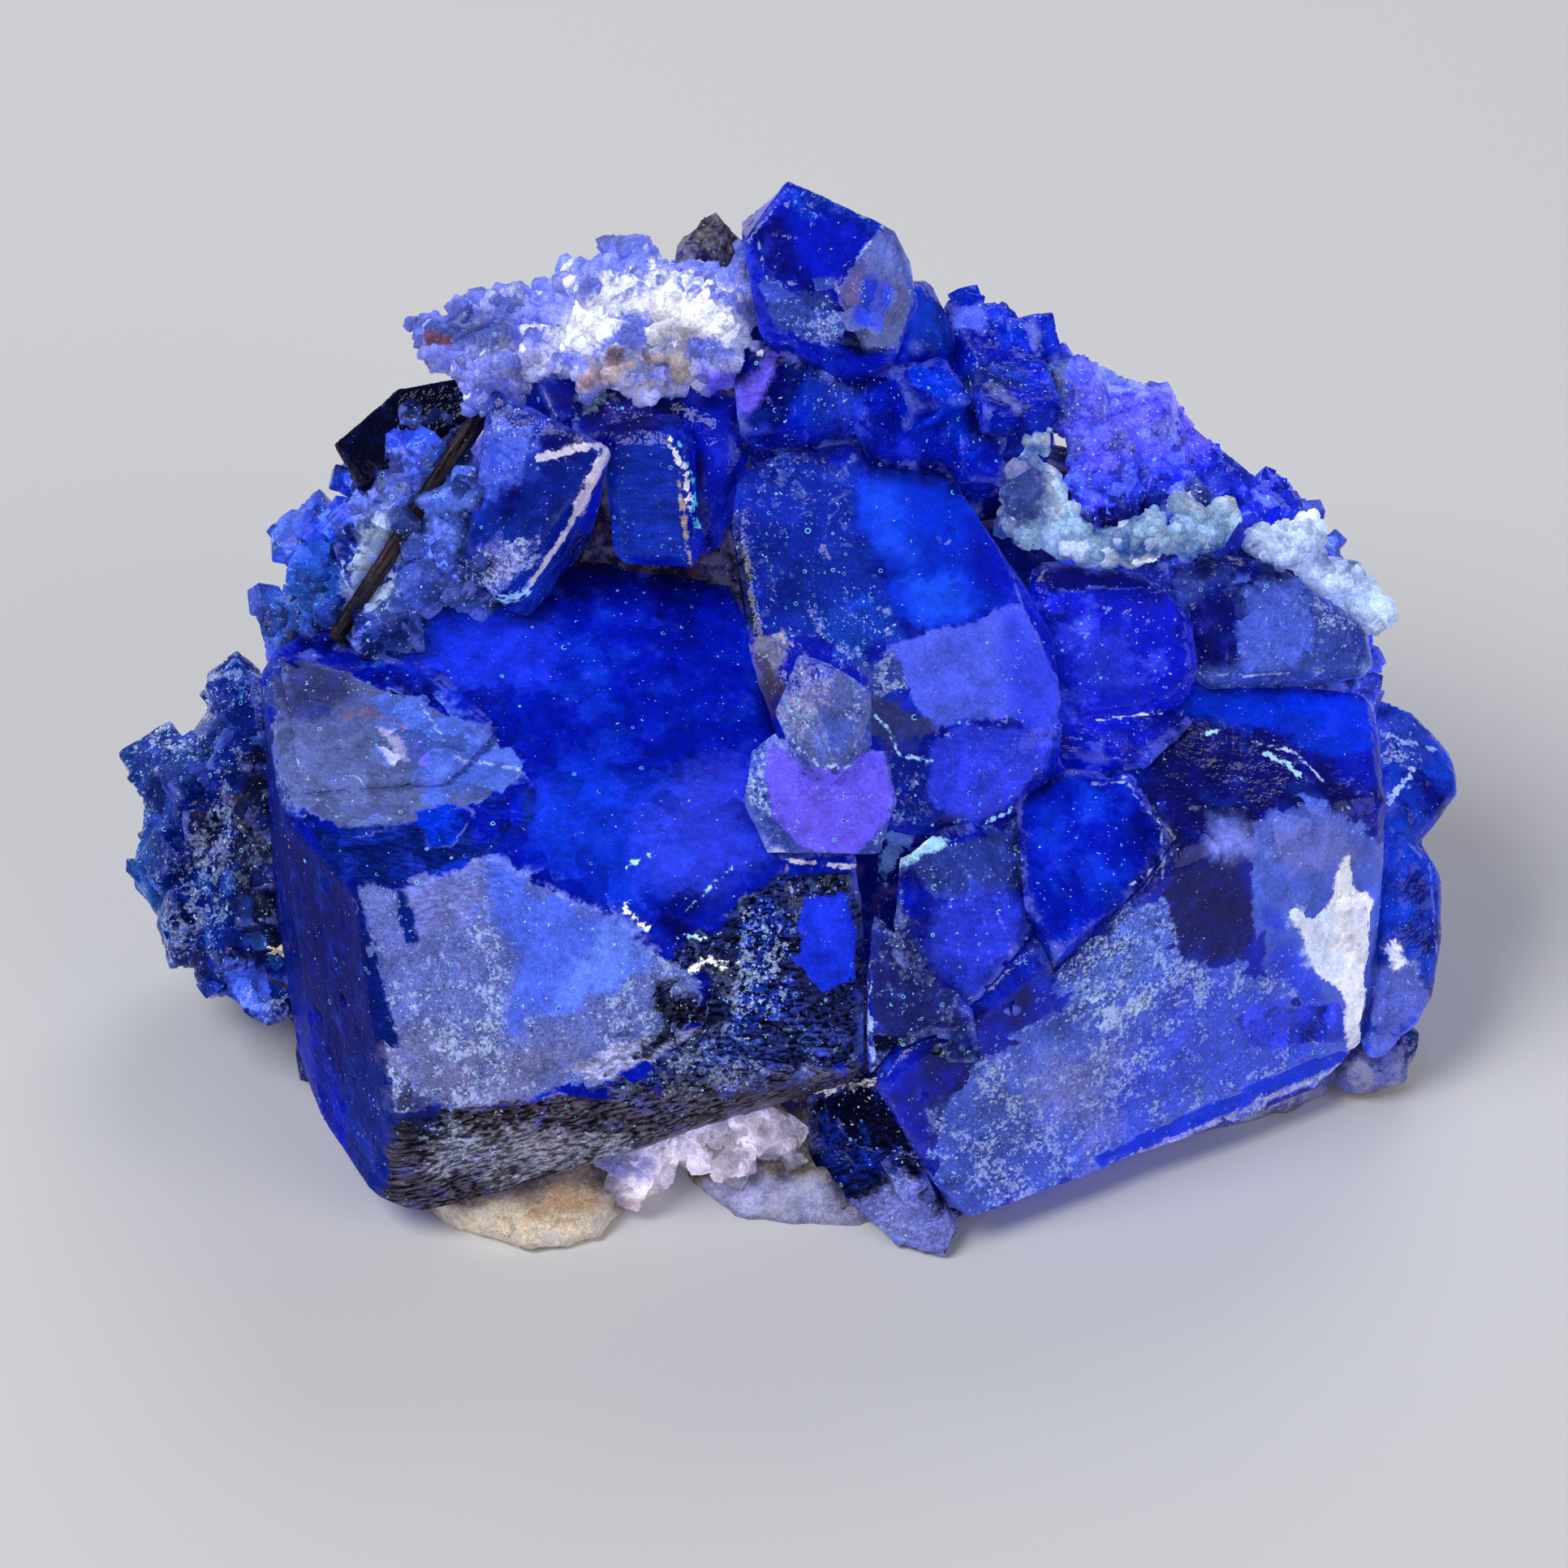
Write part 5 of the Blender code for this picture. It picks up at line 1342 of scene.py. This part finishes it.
def make_pit_shade_and_glint():
    """Round etch pits, each with painted shade in the middle and a painted highlight on one side,
    in two sizes. Amount is the share of places that have one, and Fine the share for the small
    size."""
    effect = new_effect(
        "pit_shade_and_glint", (("Place", "Vector", None), ("Amount", "Float", 0.5),
                      ("Fine", "Float", 0.5)),
        (("PitShade", "Float"), ("PitHighlight", "Float")))
    place = effect.given("Place")
    pit_shades, pit_highlights = [], []
    for size, width, share in PIT_KINDS:
        cells = effect.cells(place, size)
        chance = effect.split(cells["Color"])
        picked = effect.math("LESS_THAN", chance[0], effect.given(share))
        reach = effect.scaled(chance[1], width * 0.6, width * 0.4)
        disc = effect.math("LESS_THAN", cells["Distance"], reach)
        hole = effect.math("LESS_THAN", cells["Distance"], effect.times(reach, 0.62))
        side = effect.vector("DOT_PRODUCT", effect.vector("SUBTRACT", place, cells["Position"]),
                             PAINTED_GLINT_SIDE)
        pit_shades.append(effect.times(picked, hole))
        pit_highlights.append(effect.times(picked, effect.minus(disc, hole),
                                   effect.scaled(chance[2], 0.7, 0.3),
                                   effect.math("GREATER_THAN", side, -0.05)))
    effect.gives("PitShade", effect.most(*pit_shades))
    effect.gives("PitHighlight", effect.most(*pit_highlights))


def make_specks():
    """Fine grain, bright flecks and dark flecks. Amount crowds the flecks."""
    effect = new_effect(
        "specks", (("Place", "Vector", None), ("Amount", "Float", 0.5),
                   ("Crowd", "Float", 0.5)),
        (("Grain", "Float"), ("Bright", "Float"), ("Dark", "Float"), ("Tint", "Float")))
    place = effect.given("Place")
    fine = effect.clouds(place, FLECK, 1.0, 0.6)
    grain = effect.add("TexWhiteNoise", {"Vector": effect.vector("SNAP", place, (GRAIN,) * 3)})
    lift = effect.times(effect.minus(effect.given("Crowd"), 0.5),
                        effect.scaled(effect.given("Amount"), 0.6, 0.2))
    more = effect.math("ADD", effect.times(effect.given("Amount"), 0.1), lift)
    effect.gives("Bright", effect.ramped(effect.math("ADD", fine[0], more), 0.74, 0.82))
    effect.gives("Dark", effect.ramped(effect.minus(fine[1], more), 0.16, 0.30, 1.0, 0.0))
    effect.gives("Grain", effect.scaled(grain.outputs["Value"], 0.4, effect.times(fine[2], 0.6)))
    effect.gives("Tint", fine[1])


def make_streaks():
    """Fine lines that run one way, bent a little."""
    effect = new_effect(
        "streaks", (("Place", "Vector", None), ("Turn", "Vector", (0, 0, 0))),
        (("Streak", "Float"),))
    laid = effect.add("VectorRotate", {"Vector": effect.given("Place"),
                                       "Rotation": effect.given("Turn")},
                      rotation_type="EULER_XYZ")
    thin = effect.vector("MULTIPLY", laid.outputs[0], STREAK_STRETCH)
    effect.gives("Streak", effect.ramped(effect.cloud(thin, STREAK, 1.0, 0.6), 0.34, 0.68))


for make in (make_growth_colour, make_cleavage, make_zone_edge, make_pit_shade_and_glint, make_specks,
             make_streaks):
    make()


# ---------------------------------------------------------------------------
# The finish of one crystal
# ---------------------------------------------------------------------------
IOR = 1.43              # of fluorite
# clouds by their size in mm, their detail and their roughness
BROAD = (8.0, 1.0, 0.55)
MIDDLE = (2.0, 3.0, 0.62)
FINE = (0.6, 3.0, 0.65)
BUMPS = (0.7, 2.0, 0.6)
BUMP_DEPTH = 0.22       # mm
CROSSED = 1.5           # surfaces that light has crossed where a plain finish is enough
PATTERNS = ("speck", "streak", "shard")


class Mineral(Tree):
    """A crystal's material while it is built. Its colour is laid on in layers."""

    def __init__(self, name, spec, zones):
        self.material = bpy.data.materials.new(name)
        self.material.use_nodes = True
        self.material.cycles.emission_sampling = "NONE"
        super().__init__(self.material.node_tree)
        self.spec = spec
        self.zones = zones
        here = self.add("TexCoord").outputs["Object"]
        self.place = self.vector("MULTIPLY", here, (1 / MM,) * 3)
        self.broad = self.clouds(self.place, *BROAD)
        self.middle = self.clouds(self.place, *MIDDLE)
        self.fine = self.cloud(self.place, *FINE)
        self.grow()
        self.draw_zones()
        self.paint_contact_shade()
        self.vary()
        self.shade_grooves_light_edges()
        self.fleck()
        self.finish()

    def lay(self, share, tone, how="MIX"):
        """Lays a tone or a colour over a share of what is there."""
        over = PAINTS[tone] if isinstance(tone, str) else tone
        self.colour = self.mixed(share, self.colour, over, how)

    def grow(self):
        dark, main, light = (PAINTS[key] for key in self.spec.tones)
        self.colour = self.effect("growth_colour", {
            "Broad": self.broad[0], "Fine": self.middle[0], "Dark": dark, "Middle": main,
            "Light": light})["Color"]

    def draw_zones(self):
        """Zones and veins, and how much of each pattern shows where."""
        bend = self.add("CombineXYZ", dict(enumerate(self.middle[:3]))).outputs[0]
        self.broken = self.effect("cleavage", {"Place": self.place, "Bend": bend,
                                               "Fine": self.fine})
        self.levels = {key: getattr(self.spec, key) for key in ("matte", *PATTERNS)}
        self.rim_highlights = 0.0
        self.raised = 0.0
        for k, mark in enumerate(self.zones):
            edge = self.effect("zone_edge", {
                "Inside": self.kept(f"zone_{k}"), "Soft": mark.soft, "Ragged": mark.ragged,
                "Shake": self.broken["Crumble" if mark.wide else "Shake"]})
            self.lay(self.times(edge["Mask"], mark.strength), mark.tone)
            for key, level in self.levels.items():
                wanted = getattr(mark, key)
                if wanted is not None:
                    self.levels[key] = self.blended(edge["Mask"], level, wanted)
            if mark.wide or mark.lift:
                self.raised = self.most(edge["Mask"], self.raised)
            if mark.rim:
                self.rim_highlights = self.most(self.times(edge["Rim"], mark.rim), self.rim_highlights)

    def paint_contact_shade(self):
        """Painted shade where the crystal meets another."""
        away = self.scaled(self.middle[2], 1.6, self.kept("room"))
        near = self.ramped(away, 0.7, 2.3, self.spec.contact_shade, 0.0)
        flat = self.minus(1.0, self.raised, clamp=True)
        # painted shade near the neighbours, kept off raised veins and zones
        self.lay(self.times(near, flat), self.spec.shade_tone)

    def vary(self):
        """Neighbouring hues, and brightness by patches, grain, plates and streaks."""
        for cloud, hue in zip(self.middle[1:3], self.spec.hues):
            self.lay(self.ramped(cloud, 0.54, 0.74, 0.0, self.spec.hue), hue)
        self.crowd = self.scaled(self.broad[1], 0.5, self.times(self.middle[0], 0.5))
        self.specks = self.effect("specks", {
            "Place": self.place, "Amount": self.levels["speck"], "Crowd": self.crowd})
        patches = self.scaled(self.middle[1], 1.3, self.scaled(self.fine, 0.9, -0.1))
        grain = self.varied(self.specks["Grain"], 0.5,
                            self.scaled(self.levels["speck"], 1.0, 0.6))
        shard = self.varied(self.broken["Shard"], 0.5, self.levels["shard"])
        level = self.times(patches, grain, shard)
        if self.spec.streak or any(mark.streak for mark in self.zones):
            streak = self.effect("streaks", {"Place": self.place, "Turn": self.spec.turn})
            level = self.times(level, self.varied(streak["Streak"], 0.55,
                                                  self.times(self.levels["streak"], 1.7)))
        if self.spec.mixed:
            chance = self.kept("grain")
            self.lay(self.ramped(chance, 0.9, 1.0, 0.0, self.spec.mixed), self.spec.tones[2])
            level = self.times(level, self.scaled(chance, self.spec.mixed * 1.3,
                                                  1 - self.spec.mixed * 0.6))
        self.lay(1.0, level, "MULTIPLY")

    def shade_grooves_light_edges(self):
        """Painted shade in deep grooves; worn edges lighter, partly wear and partly painted
        highlight; painted highlight on the rims of zones.
        """
        sharp = self.kept("edge")
        # painted shade in the grooves
        self.lay(self.ramped(sharp, -0.05, -0.006, self.spec.groove_shade, 0.0), self.spec.shade_tone)
        some = self.ramped(self.middle[2], 0.42, 0.6)
        # worn edges lighter, partly wear and partly painted highlight; zone rims in painted
        # highlight
        worn = self.times(self.ramped(sharp, *WORN_EDGE), some, self.spec.worn)
        self.lay(self.most(worn, self.times(self.rim_highlights, some)), self.spec.edge)

    def fleck(self):
        """Bright and dark flecks, flakes, and pits with painted shade in the middle and a painted
        highlight on one side.
        """
        spec, speck = self.spec, self.levels["speck"]
        flakes = self.times(self.ramped(self.scaled(self.crowd, 1.3, self.fine), 1.22, 1.3),
                            self.ramped(speck, 0.3, 1.0, 0.0, 0.6))
        fleck = self.mixed(self.ramped(self.specks["Tint"], 0.35, 0.6, 0.3, 0.95),
                           self.colour, PAINTS["pale"])
        self.lay(self.most(self.specks["Bright"], flakes), fleck)
        pits = self.effect("pit_shade_and_glint", {
            "Place": self.place, "Fine": self.times(speck, spec.pit_glint),
            "Amount": self.ramped(self.broad[2], 0.35, 0.65, 0.05, spec.pit_glint * 0.35)})
        # painted shade in the pits, and the dark flecks
        dim = self.times(self.scaled(pits["PitShade"], -0.45, 1.0),
                         self.scaled(self.times(self.specks["Dark"], speck), -0.5, 1.0))
        self.lay(1.0, dim, "MULTIPLY")
        # painted highlight on one side of each pit
        self.lay(pits["PitHighlight"], self.mixed(0.65, fleck, PAINTS["cyan"]))

    def finish(self):
        """The surface, and the inside of a crystal that absorbs light."""
        spec = self.spec
        nodes = self.material.node_tree.nodes
        shader = nodes["Principled BSDF"].inputs
        self.plug(shader["Base Color"], self.colour)
        # the colour, with its painted shade and highlights, also glows as emission: painted light
        self.plug(shader["Emission Color"], self.colour)
        self.plug(shader["Roughness"], self.math(
            "ADD", self.levels["matte"], self.ramped(self.broad[1], 0.3, 0.7, -0.05, 0.1),
            clamp=True))
        bump = self.add("Bump", {"Height": self.cloud(self.place, *BUMPS),
                                 "Strength": spec.bump, "Distance": BUMP_DEPTH * MM})
        self.plug(shader["Normal"], bump.outputs["Normal"])
        shader["Emission Strength"].default_value = spec.painted_glow
        shader["IOR"].default_value = IOR
        shader["Specular IOR Level"].default_value = spec.mirror
        shader["Transmission Weight"].default_value = spec.clear
        # light that has crossed two surfaces meets a plain finish in the main tone, which also
        # glows as painted light
        main = PAINTS[spec.tones[1]]
        plain = self.add("BsdfPrincipled", {
            "Base Color": main, "Emission Color": main, "Emission Strength": spec.painted_glow,
            "Roughness": spec.matte, "IOR": IOR, "Specular IOR Level": spec.mirror,
            "Transmission Weight": spec.clear})
        crossed = self.math("GREATER_THAN", self.add("LightPath").outputs["Ray Depth"],
                            CROSSED)
        both = self.add("MixShader", {0: crossed, 1: nodes["Principled BSDF"].outputs[0],
                                      2: plain.outputs[0]})
        output = nodes["Material Output"].inputs
        self.plug(output["Surface"], both.outputs[0])
        if spec.density:
            inner = self.add("VolumeAbsorption", {"Color": PAINTS[spec.through],
                                                  "Density": spec.density})
            self.plug(output["Volume"], inner.outputs["Volume"])


# ---------------------------------------------------------------------------
# The specimen
# ---------------------------------------------------------------------------
for number, (node, spec) in enumerate(LOOKS.items()):
    zones = ZONES.get(node, ())
    made = dress(node, spec, zones, CROPS.get(node), number + 1)
    made.data.materials.clear()
    made.data.materials.append(Mineral(node + "_finish", spec, zones).material)
    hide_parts(node)
    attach(made, "root")

# ---------------------------------------------------------------------------
# Floor, light and camera
# ---------------------------------------------------------------------------
FLOOR_SIZE = 3.0        # m, from the middle to a side
FLOOR_COLOUR = (0.74, 0.74, 0.75, 1)
SKY_COLOUR = (0.8, 0.85, 1.0, 1)
# each lamp's place and the point it faces, in m, its width in m and its power in W
LAMPS = {
    "key_light": ((-0.45, -0.25, 0.75), (0, 0, 0.02), 0.5, 5.0),
    "fill_light": ((0.6, -0.45, 0.45), (0, 0, 0.02), 0.6, 1.6),
    "back_light": ((0.15, 0.7, 0.6), (0, 0, 0.03), 0.5, 2.2),
}

bm = bmesh.new()
bmesh.ops.create_grid(bm, x_segments=1, y_segments=1, size=FLOOR_SIZE)
floor = to_object("floor", bm)
floor_finish = bpy.data.materials.new("pale_floor")
floor_finish.use_nodes = True
floor_shader = floor_finish.node_tree.nodes["Principled BSDF"]
floor_shader.inputs["Base Color"].default_value = FLOOR_COLOUR
floor_shader.inputs["Roughness"].default_value = 0.8
floor.data.materials.append(floor_finish)

for name, (at, aim, width, power) in LAMPS.items():
    lamp = bpy.data.lights.new(name, "AREA")
    lamp.shape = "DISK"
    lamp.size = width
    lamp.energy = power
    holder = bpy.data.objects.new(name, lamp)
    bpy.context.scene.collection.objects.link(holder)
    holder.location = at
    holder.rotation_euler = (Vector(aim) - Vector(at)).to_track_quat("-Z", "Y").to_euler()

world = bpy.data.worlds.new("studio")
bpy.context.scene.world = world
world.use_nodes = True
sky = world.node_tree.nodes["Background"].inputs
sky["Color"].default_value = SKY_COLOUR
sky["Strength"].default_value = 0.15

lens = bpy.data.cameras.new("camera")
lens.lens = 135
lens.sensor_width = 36
lens.clip_start = 0.01
lens.clip_end = 20
camera = bpy.data.objects.new("camera", lens)
bpy.context.scene.collection.objects.link(camera)
camera.location = (-0.00005, -0.30320, 0.27191)
camera.rotation_euler = (math.radians(50), 0, 0)
bpy.context.scene.camera = camera
bpy.context.scene.view_settings.view_transform = "Standard"
